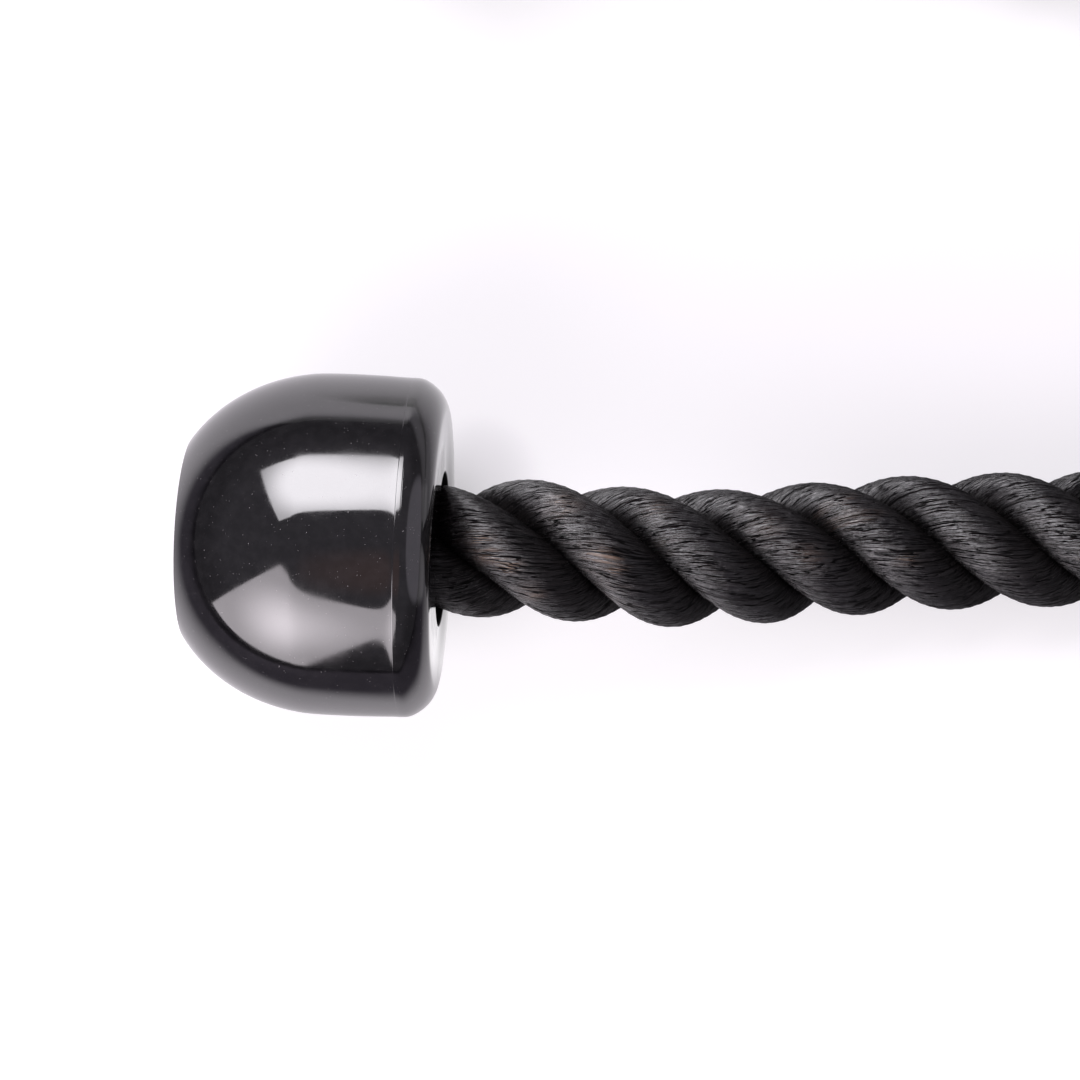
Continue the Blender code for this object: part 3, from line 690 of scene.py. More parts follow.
def moulding_material():
    """Glossy black moulding with dust, hazy smears and fine scratches, and painted shade inside its
    bore, where a dull dark copy replaces the gloss.
    """
    material, graph, shader = new_material("black_moulding")
    body = graph.where()
    wave = graph.noise(body, 55.0, 1.0, 0.4)
    dust = graph.smooth(graph.noise(body, 2600.0, 1.0, 0.5), 0.755, 0.79)
    hair = graph.noise(body * (0.05, 1.0, 0.4), 900.0, 1.0, 0.5)
    scratch = graph.smooth(graph.math("ABSOLUTE", hair - 0.53), 0.004, 0.0)
    scratch = scratch * graph.smooth(graph.noise(body, 130.0, 1.0, 0.5), 0.60, 0.68)
    haze = graph.smooth(graph.noise(body, 85.0, 5.0, 0.68), 0.3, 0.75, 0.05, 0.13)
    film = graph.smooth(graph.noise(body, 420.0, 4.0, 0.65), 0.35, 0.75)
    marks = dust * 0.6 + scratch * 0.12
    colour = graph.mix(marks, graph.mix(film, BLACK_MOULDING, HAZY_MOULDING), DUST)
    bump = graph.bump(wave, 0.05, 0.3 * MM)
    polish(graph, shader, colour, haze + marks * 0.4, bump, STRONG_GLOSS)
    # Painted shade in the bore: a dull dark copy hides the reflections there
    graph.join(material, shader, graph.painted_shade_shader(BORE_SHADE_BLACK), graph.read("bore"))
    return material


def metal_material(name, colour, smoothest, roughest, brushed=0.0):
    """Plated or bare metal with an uneven polish."""
    material, graph, shader = new_material(name)
    body = graph.where()
    cloud = graph.noise(body, 260.0, 5.0, 0.6)
    bump = graph.bump(graph.noise(body, 1400.0, 2.0, 0.6), 0.05 + brushed, 0.1 * MM)
    shader.inputs["Metallic"].default_value = 1.0
    tint = graph.mix(cloud, (*(0.86 * c for c in colour), 1.0), (*colour, 1.0))
    polish(graph, shader, tint, graph.smooth(cloud, 0.3, 0.7, smoothest, roughest), bump)
    return material


def rounded(corners, steps):
    """A closed outline through corners, given as (x, y, radius), each rounded by its radius."""
    outline = []
    for i, (x, y, radius) in enumerate(corners):
        here = Vector((x, y))
        before = (Vector(corners[i - 1][:2]) - here).normalized()
        after = (Vector(corners[(i + 1) % len(corners)][:2]) - here).normalized()
        if radius <= 0.0:
            outline.append((x, y))
            continue
        half = before.angle(after) / 2
        first = here + before * radius / math.tan(half)
        centre = here + (before + after).normalized() * radius / math.sin(half)
        begin = math.atan2(first.y - centre.y, first.x - centre.x)
        last = here + after * radius / math.tan(half)
        sweep = math.atan2(last.y - centre.y, last.x - centre.x) - begin
        sweep = (sweep + math.pi) % TURN - math.pi
        for step in range(steps + 1):
            angle = begin + sweep * step / steps
            outline.append(
                (centre.x + radius * math.cos(angle), centre.y + radius * math.sin(angle))
            )
    return outline


def mesh_object(name, verts, faces, material):
    mesh = bpy.data.meshes.new(name)
    mesh.from_pydata(verts, [], faces)
    work = bmesh.new()
    work.from_mesh(mesh)
    bmesh.ops.remove_doubles(work, verts=work.verts, dist=MM / 1000)
    bmesh.ops.recalc_face_normals(work, faces=work.faces)
    work.to_mesh(mesh)
    work.free()
    mesh.shade_smooth()
    mesh.set_sharp_from_angle(angle=SHARP_ANGLE)
    if material:
        mesh.materials.append(material)
    return add_object(name, mesh)


def skinned(name, rings, material, looped=False):
    """Rings of places joined to a skin, which is closed at its two ends or on itself."""
    count = len(rings[0])
    faces = []
    for i in range(len(rings) if looped else len(rings) - 1):
        j = (i + 1) % len(rings)
        for k in range(count):
            m = (k + 1) % count
            faces.append((i * count + k, i * count + m, j * count + m, j * count + k))
    verts = [tuple(place) for ring in rings for place in ring]
    if not looped:
        faces += [tuple(range(count)), tuple(range(len(verts) - count, len(verts)))]
    return mesh_object(name, verts, faces, material)


def turned(name, profile, material, place, sides=ROUND_SIDES):
    """A profile of (radius, height) turned about Z, then put in its place."""
    rings = []
    for i in range(sides):
        angle = TURN * i / sides
        rings.append([(r * math.cos(angle), r * math.sin(angle), h) for r, h in profile])
    obj = skinned(name, rings, material, looped=True)
    obj.data.transform(place)
    return obj


def along(direction, place):
    """The matrix that turns +Z to a direction and moves the origin to a place."""
    spin = Vector(direction).to_track_quat("Z", "Y").to_matrix().to_4x4()
    return Matrix.Translation(Vector(place)) @ spin


# Dome stop, with its face at height 0 and its dome end at +Z
DOME_LENGTH = 33.6 * MM
DOME_FLAT_R = 6.4 * MM
FILLET_FOOT = 0.5 * MM
FILLET_TOP = 5.74 * MM
FILLET_FOOT_LEAN = math.radians(-66)
FILLET_TOP_LEAN = math.radians(-7)
FILLET_BOW = math.radians(4)
BORE_R = 15.6 * MM
BORE_EASE = 0.5 * MM
POCKET_R = 20.8 * MM
POCKET_FLOOR = 17 * MM
POCKET_EASE = 0.05 * MM
MOUTH_EASE = 0.25 * MM
PLUG_LENGTH = 7 * MM
PLUG_CROWN = 1.7 * MM
PLUG_CLEARANCE = 0.12 * MM
STEP = 0.01 * MM
DOME_SIDES = 192
PLUG_SIDES = 160
# The side is a little barrel-shaped: a large arc, which sweeps out to a lip and in to the dome
SIDE_FOOT = 6.85 * MM
SIDE_TOP = 27 * MM
BARREL_MIDDLE = 19.5 * MM
BARREL_R = 230 * MM
LIP_SWEEP = math.radians(5.6)
LIP_SWEEP_LENGTH = 1.1 * MM
SHOULDER = math.radians(4)
SHOULDER_LENGTH = 1.5 * MM
LIP_FOOT = 5.8 * MM
LIP_TOP = 6.77 * MM
LIP_FOOT_LEAN = math.radians(-4)
LIP_TOP_LEAN = math.radians(-1)
LIP_GROOVE = 0.03 * MM


def dome_height(radius):
    share = (radius - DOME_FLAT_R) / (CAP_R - DOME_FLAT_R)
    return DOME_LENGTH * (1 - math.sqrt(1 - share**2))


def side_lean(height):
    barrel = (height - BARREL_MIDDLE) / BARREL_R
    lip = LIP_SWEEP * np.exp((SIDE_FOOT - height) / LIP_SWEEP_LENGTH)
    shoulder = SHOULDER * np.exp((height - SIDE_TOP) / SHOULDER_LENGTH)
    return barrel + lip + shoulder


def lip_lean(height):
    share = (height - LIP_FOOT) / (LIP_TOP - LIP_FOOT)
    return LIP_FOOT_LEAN + (LIP_TOP_LEAN - LIP_FOOT_LEAN) * share


def fillet_lean(height):
    share = (FILLET_TOP - height) / (FILLET_TOP - FILLET_FOOT)
    even = FILLET_TOP_LEAN + (FILLET_FOOT_LEAN - FILLET_TOP_LEAN) * share
    return even - FILLET_BOW * np.sin(TURN * share)


def leaning_side(lean_at, foot, top, steps, start_r):
    """Places (radius, height) down a side, from how it leans at each height."""
    heights = np.linspace(top, foot, steps)
    lean = lean_at(heights)
    middle = np.tan((lean[1:] + lean[:-1]) / 2)
    radii = start_r + np.concatenate([[0.0], np.cumsum(middle * -np.diff(heights))])
    return list(zip(radii.tolist(), heights.tolist()))


def dome_stop(name, material, place):
    rim = dome_height(POCKET_R + POCKET_EASE)
    side = leaning_side(side_lean, SIDE_FOOT, SIDE_TOP, 90, 0.0)
    swell = CAP_R - max(radius for radius, _ in side)
    side = [(radius + swell, height) for radius, height in side]
    join_r, join = side[0]
    begin = math.acos(1 - rim / DOME_LENGTH)
    last = math.acos(1 - (CAP_LENGTH - join) / DOME_LENGTH)
    back = DOME_FLAT_R + (CAP_R - DOME_FLAT_R) * math.sin(last) - join_r
    profile = [
        (
            DOME_FLAT_R + (CAP_R - DOME_FLAT_R) * math.sin(angle) - back,
            CAP_LENGTH - DOME_LENGTH * (1 - math.cos(angle)),
        )
        for angle in np.linspace(begin, last, 44)[:-1]
    ]
    profile += side
    # The parting line: a fine groove beside the lip where the two halves of the mould met
    lip_r, lip = side[-1]
    profile += [(lip_r - LIP_GROOVE, lip - 3 * STEP), (lip_r - LIP_GROOVE, lip - 5 * STEP)]
    strip = leaning_side(lip_lean, LIP_FOOT, LIP_TOP, 8, lip_r - STEP)
    fillet = leaning_side(fillet_lean, FILLET_FOOT, FILLET_TOP, 32, strip[-1][0] - STEP)
    profile += strip + [strip[-1], (fillet[0][0], fillet[0][1] + 3 * STEP)] + fillet
    edge_r, edge = fillet[-1]
    lean = -FILLET_FOOT_LEAN
    curve = edge / (1 - math.sin(lean))
    profile += [
        (edge_r - curve * (math.cos(lean) - math.cos(angle)), curve * (1 - math.sin(angle)))
        for angle in np.linspace(lean, math.pi / 2, 9)[1:]
    ]
    profile += [
        (BORE_R + BORE_EASE, 0.0),
        (BORE_R + 0.3 * BORE_EASE, 0.3 * BORE_EASE),
        (BORE_R, BORE_EASE),
        (BORE_R, POCKET_FLOOR),
        (POCKET_R, POCKET_FLOOR),
        (POCKET_R, CAP_LENGTH - rim - MOUTH_EASE),
    ]
    stop = turned(name, profile, material, place, DOME_SIDES)
    # The material turns to painted shade, a dull dark copy, where this says that a point is in the
    # bore
    unplaced = place.inverted()
    edge_r = BORE_R + 0.6 * BORE_EASE
    inside = [(unplaced @ point.co).xy.length < edge_r for point in stop.data.vertices]
    marks = stop.data.attributes.new("bore", "FLOAT", "POINT")
    marks.data.foreach_set("value", np.array(inside, dtype=np.float32))
    return stop


def dome_plug(name, material, place):
    radius = POCKET_R - PLUG_CLEARANCE
    rim = CAP_LENGTH - dome_height(POCKET_R + GAP)
    profile = [
        (radius * share, rim + PLUG_CROWN * (1 - share**2))
        for share in np.linspace(0.0, 0.985, 26)
    ]
    profile += [(radius, rim - MOUTH_EASE), (radius, rim - PLUG_LENGTH), (0.0, rim - PLUG_LENGTH)]
    return turned(name, profile, material, place, PLUG_SIDES)


def plate(name, outline, low, high, place=Matrix()):
    """A flat outline between two heights."""
    rings = [[(x, y, height) for x, y in outline] for height in (low, high)]
    obj = skinned(name, rings, None)
    obj.data.transform(place)
    return obj


def cut(obj, cutter, operation="DIFFERENCE"):
    boolean = obj.modifiers.new(cutter.name, "BOOLEAN")
    boolean.operation = operation
    boolean.solver = "EXACT"
    boolean.object = cutter


def settle(obj, material):
    """Turns the object and its modifiers into a plain mesh and removes its cutters."""
    cutters = [m.object for m in obj.modifiers if m.type == "BOOLEAN"]
    mesh = with_modifiers(obj)
    obj.modifiers.clear()
    obj.data = mesh
    mesh.materials.clear()
    mesh.materials.append(material)
    for polygon in mesh.polygons:
        polygon.material_index = 0
    for cutter in cutters:
        bpy.data.objects.remove(cutter, do_unlink=True)
    return obj


def ease_edges(obj, width):
    bevel = obj.modifiers.new("eased", "BEVEL")
    bevel.width = width
    bevel.segments = 3
    bevel.limit_method = "ANGLE"
    bevel.angle_limit = EASED_ANGLE
    bevel.harden_normals = True


def eased_rim(radius, low, high, ease):
    """The outer side of a disc, with both its corners eased."""
    corner = [(radius - ease, 0.0), (radius - ease * 0.3, ease * 0.3), (radius, ease)]
    return [(r, high - h) for r, h in corner] + [(r, low + h) for r, h in reversed(corner)]


def ring_profile(inner, outer, low, high, ease):
    bore = [(inner + ease, low), (inner, low + ease), (inner, high - ease), (inner + ease, high)]
    return eased_rim(outer, low, high, ease) + bore


def drill(obj, name, radius, low, high, place, sides=ROUND_SIDES):
    """Cuts a round hole along the Z of a place."""
    profile = [(0.0, high), (radius, high), (radius, low), (0.0, low)]
    cut(obj, turned(name, profile, None, place, sides))


def on_circle(radius, angles):
    return [(radius * math.cos(angle), radius * math.sin(angle)) for angle in angles]


def oval_sleeve(material):
    """The oval tube round both legs, with rolled lips at its flared mouths and pressed waists."""
    waist = SLEEVE_LENGTH / 2
    lip = SLEEVE_WALL / 2
    angles = np.linspace(-math.pi / 2, math.pi / 2, 33)

    def oval(x, away, from_bore):
        from_waist = abs(x - waist) / waist
        radius = ROPE_R + GAP + SLEEVE_FLARE * from_waist**4 + from_bore
        middle = LEG_Y + (LEG_SPREAD * from_waist**2 if x < waist else 0.0)
        side = [(middle + y, z) for y, z in on_circle(radius, angles)]
        outline = side + [(-y, -z) for y, z in side]
        return [(MOUTH_X + x + away, y, FIT_Z + z) for y, z in outline]

    def crimped(x):
        return SLEEVE_WALL - CRIMP_DEPTH * math.sin(math.pi * CRIMPS * x / SLEEVE_LENGTH) ** 2

    stations = np.linspace(lip, SLEEVE_LENGTH - lip, 60)
    rings = [oval(x, 0.0, crimped(x)) for x in stations]
    for turn in np.linspace(0.0, math.pi, 8)[1:-1]:
        rings.append(oval(stations[-1], lip * math.sin(turn), lip + lip * math.cos(turn)))
    rings += [oval(x, 0.0, 0.0) for x in reversed(stations)]
    for turn in np.linspace(math.pi, 0.0, 8)[1:-1]:
        rings.append(oval(stations[0], -lip * math.sin(turn), lip + lip * math.cos(turn)))
    return skinned("oval_sleeve", rings, material, looped=True)


def grooved_thimble(material):
    """The steel strip in the fold: a groove for the rope, with rounded lips."""
    lip = THIMBLE_WALL / 2
    wrap = np.linspace(-THIMBLE_WRAP, THIMBLE_WRAP, 25)
    half_turn = np.radians(np.linspace(150, 30, 4))

    def rolled(tip, turns):
        x, y = on_circle(THIMBLE_R + lip, [tip])[0]
        return [(x + across, y + up) for across, up in on_circle(lip, turns)]

    section = on_circle(THIMBLE_R, wrap)
    section += rolled(THIMBLE_WRAP, THIMBLE_WRAP + half_turn)
    section += on_circle(THIMBLE_R + THIMBLE_WALL, wrap[::-1])
    section += rolled(-THIMBLE_WRAP, -THIMBLE_WRAP - half_turn[::-1])
    line = [Vector(place) for place in both_halves(fold_half(THIMBLE_START_SHARE, THIMBLE_SPACING))]
    rings = []
    for i, place in enumerate(line):
        ahead = (line[min(i + 1, len(line) - 1)] - line[max(i - 1, 0)]).normalized()
        inward = Vector((ahead.y, -ahead.x, 0.0))
        rings.append([place + inward * x + Vector((0.0, 0.0, z)) for x, z in section])
    return skinned("grooved_thimble", rings, material)


def forked_jaw(material):
    """Two cheeks and a bridge with eased edges, bored for the pin and the shank."""
    half_gap = JAW_GAP / 2
    half_height = half_gap + CHEEK
    half_width = JAW_WIDTH / 2
    ear_x = PIN_X - EAR_R
    outer_x = BRIDGE_X + BRIDGE
    corners = [(ear_x, half_height, 0.0), (ear_x, half_gap, 0.0)]
    corners += [(BRIDGE_X, half_gap, JAW_INNER_ROUND)]
    corners += [(x, -y, radius) for x, y, radius in reversed(corners)]
    corners += [(outer_x, side * half_height, JAW_OUTER_ROUND) for side in (-1, 1)]
    upright = Matrix.Translation((0.0, 0.0, FIT_Z)) @ Matrix.Rotation(math.pi / 2, 4, "X")
    jaw = plate("forked_jaw", rounded(corners, 12), -JAW_WIDTH, JAW_WIDTH, upright)
    ear = [(PIN_X - x, y) for y, x in on_circle(EAR_R, np.linspace(0.0, math.pi, 33))]
    corners = [(BRIDGE_X, -half_width, 0.0), (outer_x, -half_width, JAW_CORNER)]
    corners += [(x, -y, radius) for x, y, radius in reversed(corners)]
    planform = ear + rounded(corners, 8)
    cut(jaw, plate("jaw_planform", planform, -OVERRUN, 2 * FIT_Z + OVERRUN), "INTERSECT")
    pin_line = Matrix.Translation((PIN_X, 0.0, 0.0))
    drill(jaw, "jaw_pin_hole", PIN_R + GAP, -OVERRUN, 2 * FIT_Z + OVERRUN, pin_line)
    drill(jaw, "jaw_pin_seat", PIN_HEAD_R + GAP, -OVERRUN, PIN_HEAD + GAP, pin_line)
    shank_line = along((1, 0, 0), (BRIDGE_X - OVERRUN, 0, FIT_Z))
    drill(jaw, "jaw_shank_hole", SHANK_R + GAP, 0.0, BRIDGE + 2 * OVERRUN, shank_line)
    ease_edges(jaw, JAW_EASE)
    return settle(jaw, material)


def pin_and_keepers(steel):
    """The clevis pin with its flat head, its washer, and the bent cotter pin."""
    top = FIT_Z + JAW_GAP / 2 + CHEEK
    loop_height = (max(up for _, up in COTTER_LOOP_SHARES) + 1) * WIRE_R
    cotter_z = top + GAP + PIN_WASHER + GAP + loop_height
    pin_end = cotter_z + PIN_TIP
    profile = [
        (0.0, pin_end),
        (PIN_R - PIN_CHAMFER, pin_end),
        (PIN_R, pin_end - PIN_CHAMFER),
        (PIN_R, GAP + PIN_HEAD),
        (PIN_HEAD_R - PIN_EASE, GAP + PIN_HEAD),
        (PIN_HEAD_R, GAP + PIN_HEAD - PIN_EASE),
        (PIN_HEAD_R, GAP + PIN_EASE),
        (PIN_HEAD_R - PIN_EASE, GAP),
        (0.0, GAP),
    ]
    place = Matrix.Translation((PIN_X, 0.0, 0.0))
    pin = turned("clevis_pin_turned", profile, steel, place)
    reach = PIN_R + OVERRUN
    hole_line = along((0, 1, 0), (PIN_X, 0.0, cotter_z))
    drill(pin, "cotter_hole", COTTER_HOLE_R, -reach, reach, hole_line, COTTER_HOLE_SIDES)
    settle(pin, steel)
    pin.data.set_sharp_from_angle(angle=SHARP_ANGLE)
    profile = ring_profile(PIN_R + GAP, PIN_WASHER_R, 0.0, PIN_WASHER, PIN_WASHER_EASE)
    place = Matrix.Translation((PIN_X, 0.0, top + GAP))
    washer = turned("pin_washer_turned", profile, steel, place)
    half = [(side * WIRE_R - PIN_R, up * WIRE_R) for side, up in COTTER_TIP_SHARES]
    half += [(side * PIN_R, COTTER_TIP_SHARES[-1][1] * WIRE_R) for side in (-0.6, 0.0, 0.6)]
    half += [(side * WIRE_R + PIN_R, up * WIRE_R) for side, up in COTTER_LOOP_SHARES]
    points = half + [(side, -up) for side, up in reversed(half[:-1])]
    place, length = spline_through([(PIN_X, side, cotter_z + up) for side, up in points])
    rings = []
    for distance in np.linspace(0.0, length, 150):
        here = Vector(place(distance))
        ahead = place(min(distance + COTTER_STEP, length)) - place(max(distance - COTTER_STEP, 0))
        ahead = Vector(ahead).normalized()
        from_end = min(distance, length - distance, WIRE_R) / WIRE_R
        radius = WIRE_R * (0.35 + 0.65 * math.sqrt(1 - (1 - from_end) ** 2))
        across = Vector((1.0, 0.0, 0.0))
        other = ahead.cross(across)
        angles = np.linspace(0.0, TURN, 16, endpoint=False)
        rings.append([here + across * x + other * y for x, y in on_circle(radius, angles)])
    cotter = skinned("cotter_wire", rings, steel)
    return pin, washer, cotter


def eye_tree():
    """A ring with its neck, forged in one: the skin of a volume."""
    sizes = ("Ring Radius", "Wire Radius", "Neck Radius", "Neck End", "Blend", "Grain")
    tree, graph, start = new_tree("forged_eye", (), sizes)
    ring_r, wire_r = start.out("Ring Radius"), start.out("Wire Radius")
    x, y, z = graph.split(graph.node("GeometryNodeInputPosition"))
    flat = (x * x + y * y) ** 0.5 - ring_r
    to_ring = (flat * flat + z * z) ** 0.5 - wire_r
    round_neck = (y * y + z * z) ** 0.5 - start.out("Neck Radius")
    neck_ends = graph.math("MAXIMUM", x + ring_r, start.out("Neck End") - x)
    to_neck = graph.math("MAXIMUM", round_neck, neck_ends)
    blend = start.out("Blend")
    share = graph.math("MAXIMUM", (to_neck - to_ring) / blend * 0.5 + 0.5, 0.0)
    share = graph.math("MINIMUM", share, 1.0)
    skin = to_neck + (to_ring - to_neck) * share - blend * share * (1.0 - share)
    room = ring_r + wire_r + 2 * MM
    count = room * 2.0 / start.out("Grain")
    low = wire_r + 2 * MM
    volume = graph.node(
        "GeometryNodeVolumeCube",
        (),
        {
            "Density": -skin,
            "Background": -1.0,
            "Min": graph.vector(-room, -room, -low),
            "Max": graph.vector(room, room, low),
            "Resolution X": count,
            "Resolution Y": count,
            "Resolution Z": low * 2.0 / start.out("Grain"),
        },
    )
    made = {0: volume, "Threshold": 0.0}
    made = graph.node("GeometryNodeVolumeToMesh", {"resolution_mode": "GRID"}, made)
    end_tree(graph, start, graph.node("GeometryNodeRealizeInstances", (), {0: made}))
    return tree


def forged_eye(chrome):
    """The swivel eye: the ring and its neck, drawn onto a collar and shank."""
    sizes = {
        "Ring Radius": EYE_R,
        "Wire Radius": EYE_WIRE_R,
        "Neck Radius": NECK_R,
        "Neck End": -(EYE_R + EYE_WIRE_R) + NECK_INSET,
        "Blend": NECK_BLEND,
        "Grain": EYE_GRAIN,
        "Material": chrome,
    }
    eye = grown("forged_eye", eye_tree(), line_mesh("eye", [(0, 0, 0), (MM, 0, 0)]), sizes)
    eye.data.transform(Matrix.Translation((EYE_X, 0.0, FIT_Z)))
    end, tip = COLLAR_X + COLLAR, NUT_X - SHANK_TIP
    profile = [(0.0, end)] + eased_rim(COLLAR_R, COLLAR_X, end, COLLAR_EASE)
    profile += [(SHANK_R, COLLAR_X), (SHANK_R, tip + COLLAR_EASE), (SHANK_R - COLLAR_EASE, tip)]
    profile += [(0.0, tip)]
    place = along((1, 0, 0), (0.0, 0.0, FIT_Z))
    cut(eye, turned("eye_shank", profile, chrome, place), "UNION")
    settle(eye, chrome)
    eye.data.shade_smooth()
    eye.data.set_sharp_from_angle(angle=SHARP_ANGLE)
    return eye


def nut_and_washer(steel):
    """The chamfered nut on the shank, and the washer between it and the bridge."""
    place = along((1, 0, 0), (0.0, 0.0, FIT_Z))
    flat_r = NUT_ACROSS_FLATS / 2
    corner_r = flat_r / math.cos(math.pi / 6)
    past_r = corner_r + NUT_MARGIN
    slant = (past_r - flat_r) * math.tan(NUT_CHAMFER)
    low, high = NUT_X, NUT_X + NUT_HEIGHT
    bore = SHANK_R + GAP
    profile = [
        (flat_r, high),
        (past_r, high - slant),
        (past_r, low + slant),
        (flat_r, low),
        (bore + NUT_EASE, low),
        (bore, low + NUT_EASE),
        (bore, high - NUT_EASE),
        (bore + NUT_EASE, high),
    ]
    nut = turned("shank_nut_turned", profile, steel, place, NUT_SIDES)
    hexagon = on_circle(corner_r, [TURN * i / 6 for i in range(6)])
    cut(nut, plate("nut_flats", hexagon, low - NUT_MARGIN, high + NUT_MARGIN, place), "INTERSECT")
    settle(nut, steel)
    nut.data.set_sharp_from_angle(angle=NUT_CHAMFER)
    end = THRUST_X + THRUST_WASHER
    profile = ring_profile(bore, THRUST_WASHER_R, THRUST_X, end, THRUST_EASE)
    return nut, turned("thrust_washer_turned", profile, steel, place)


def point_camera():
    """A camera that looks down on the dome stop as the photograph's does."""
    face, _ = cap_place(-1)
    right = Vector((math.cos(IMAGE_TURN), math.sin(IMAGE_TURN), 0.0))
    up = Vector((-math.sin(IMAGE_TURN), math.cos(IMAGE_TURN), 0.0))
    target = face + right * VIEW_RIGHT_OF_FACE + up * VIEW_ABOVE_FACE
    back = right * math.sin(VIEW_TILT) + Vector((0.0, 0.0, math.cos(VIEW_TILT)))
    data = bpy.data.cameras.new("photograph")
    data.sensor_width = SENSOR
    data.lens = SENSOR * VIEW_DISTANCE / VIEW_WIDTH
    data.clip_start = 0.01
    camera = add_object("photograph", data)
    sideways = up.cross(back)
    turn = Matrix((sideways, up, back)).transposed().to_4x4()
    camera.matrix_world = Matrix.Translation(target + back * VIEW_DISTANCE) @ turn
    bpy.context.scene.camera = camera
    return target, right, up


def softbox(name, centre, facing, size, radiance, spin, colour, hot_spot, hot_reach):
    """A rectangle of light, brightest round a spot given in metres from its centre."""
    data = bpy.data.lights.new(name, "AREA")
    data.shape = "RECTANGLE"
    data.size, data.size_y = size
    data.energy = radiance * math.pi * size[0] * size[1]
    data.color = colour
    data.use_nodes = True
    graph = Graph(data.node_tree)
    face = graph.node("ShaderNodeNewGeometry", (), (), "Parametric")
    away = (face - (0.5, 0.5, 0.0)) * (*size, 0.0) - (*hot_spot, 0.0)
    away = away.reckon("LENGTH", away * (1.0, 1.0, 0.0))
    glow = graph.smooth(away, *hot_reach, 1.0, SOFTBOX_EDGE_SHARE)
    graph.feed(data.node_tree.nodes["Emission"].inputs["Strength"], glow)
    lamp = add_object(name, data)
    turn = facing.to_track_quat("Z", "Y").to_matrix().to_4x4() @ Matrix.Rotation(spin, 4, "Z")
    lamp.matrix_world = Matrix.Translation(centre) @ turn
    lamp.visible_camera = False


def light_studio(target, right, up):
    """Two softboxes, which the dome stop's two highlights show, in a dim room with a pale wall."""

    def studio(x, y, z):
        return right * x + up * y + Vector((0.0, 0.0, z))

    softbox(
        "upper_softbox",
        centre=target + studio(-0.22, 0.563, 0.667),
        facing=studio(-0.244, 0.626, 0.741),
        size=(0.65, 0.61),
        radiance=8.0,
        spin=math.radians(-3),
        colour=(0.985, 0.955, 1.0),
        hot_spot=(-0.03, 0.0),
        hot_reach=(0.14, 0.44),
    )
    softbox(
        "lower_softbox",
        centre=target + studio(-0.330, -0.587, 0.423),
        facing=studio(-0.788, -0.522, 0.328),
        size=(0.77, 0.81),
        radiance=6.2,
        spin=math.radians(-2),
        colour=(1.0, 0.93, 0.985),
        hot_spot=(0.0, -0.02),
        hot_reach=(0.0, 0.42),
    )

    world = bpy.data.worlds.new("studio_room")
    bpy.context.scene.world = world
    world.use_nodes = True
    graph = Graph(world.node_tree)
    back = world.node_tree.nodes["Background"]
    direction = graph.where("Generated")

    def towards(way, far, close):
        """Rises to 1 where the direction comes close to a way."""
        return graph.smooth(direction.reckon("DOT_PRODUCT", direction, tuple(way)), far, close)

    _, _, lift = graph.split(direction)
    room = graph.smooth(lift, 0.12, 0.5, ROOM_LOW, ROOM_HIGH)
    wall = towards(studio(math.cos(WALL_RISE), 0.03, math.sin(WALL_RISE)), 0.85, 0.91)
    room = graph.math("MAXIMUM", room, wall * WALL_STRENGTH)
    camera_ray = graph.node("ShaderNodeLightPath", (), (), "Is Camera Ray")
    warm = towards(studio(0.07, -0.30, 0.95).normalized(), 0.94, 0.995)
    colour = graph.mix(camera_ray, graph.mix(warm, ROOM_TINT, WARM_TINT), WHITE)
    graph.feed(back.inputs["Color"], colour)
    graph.feed(back.inputs["Strength"], graph.math("MAXIMUM", camera_ray, room))


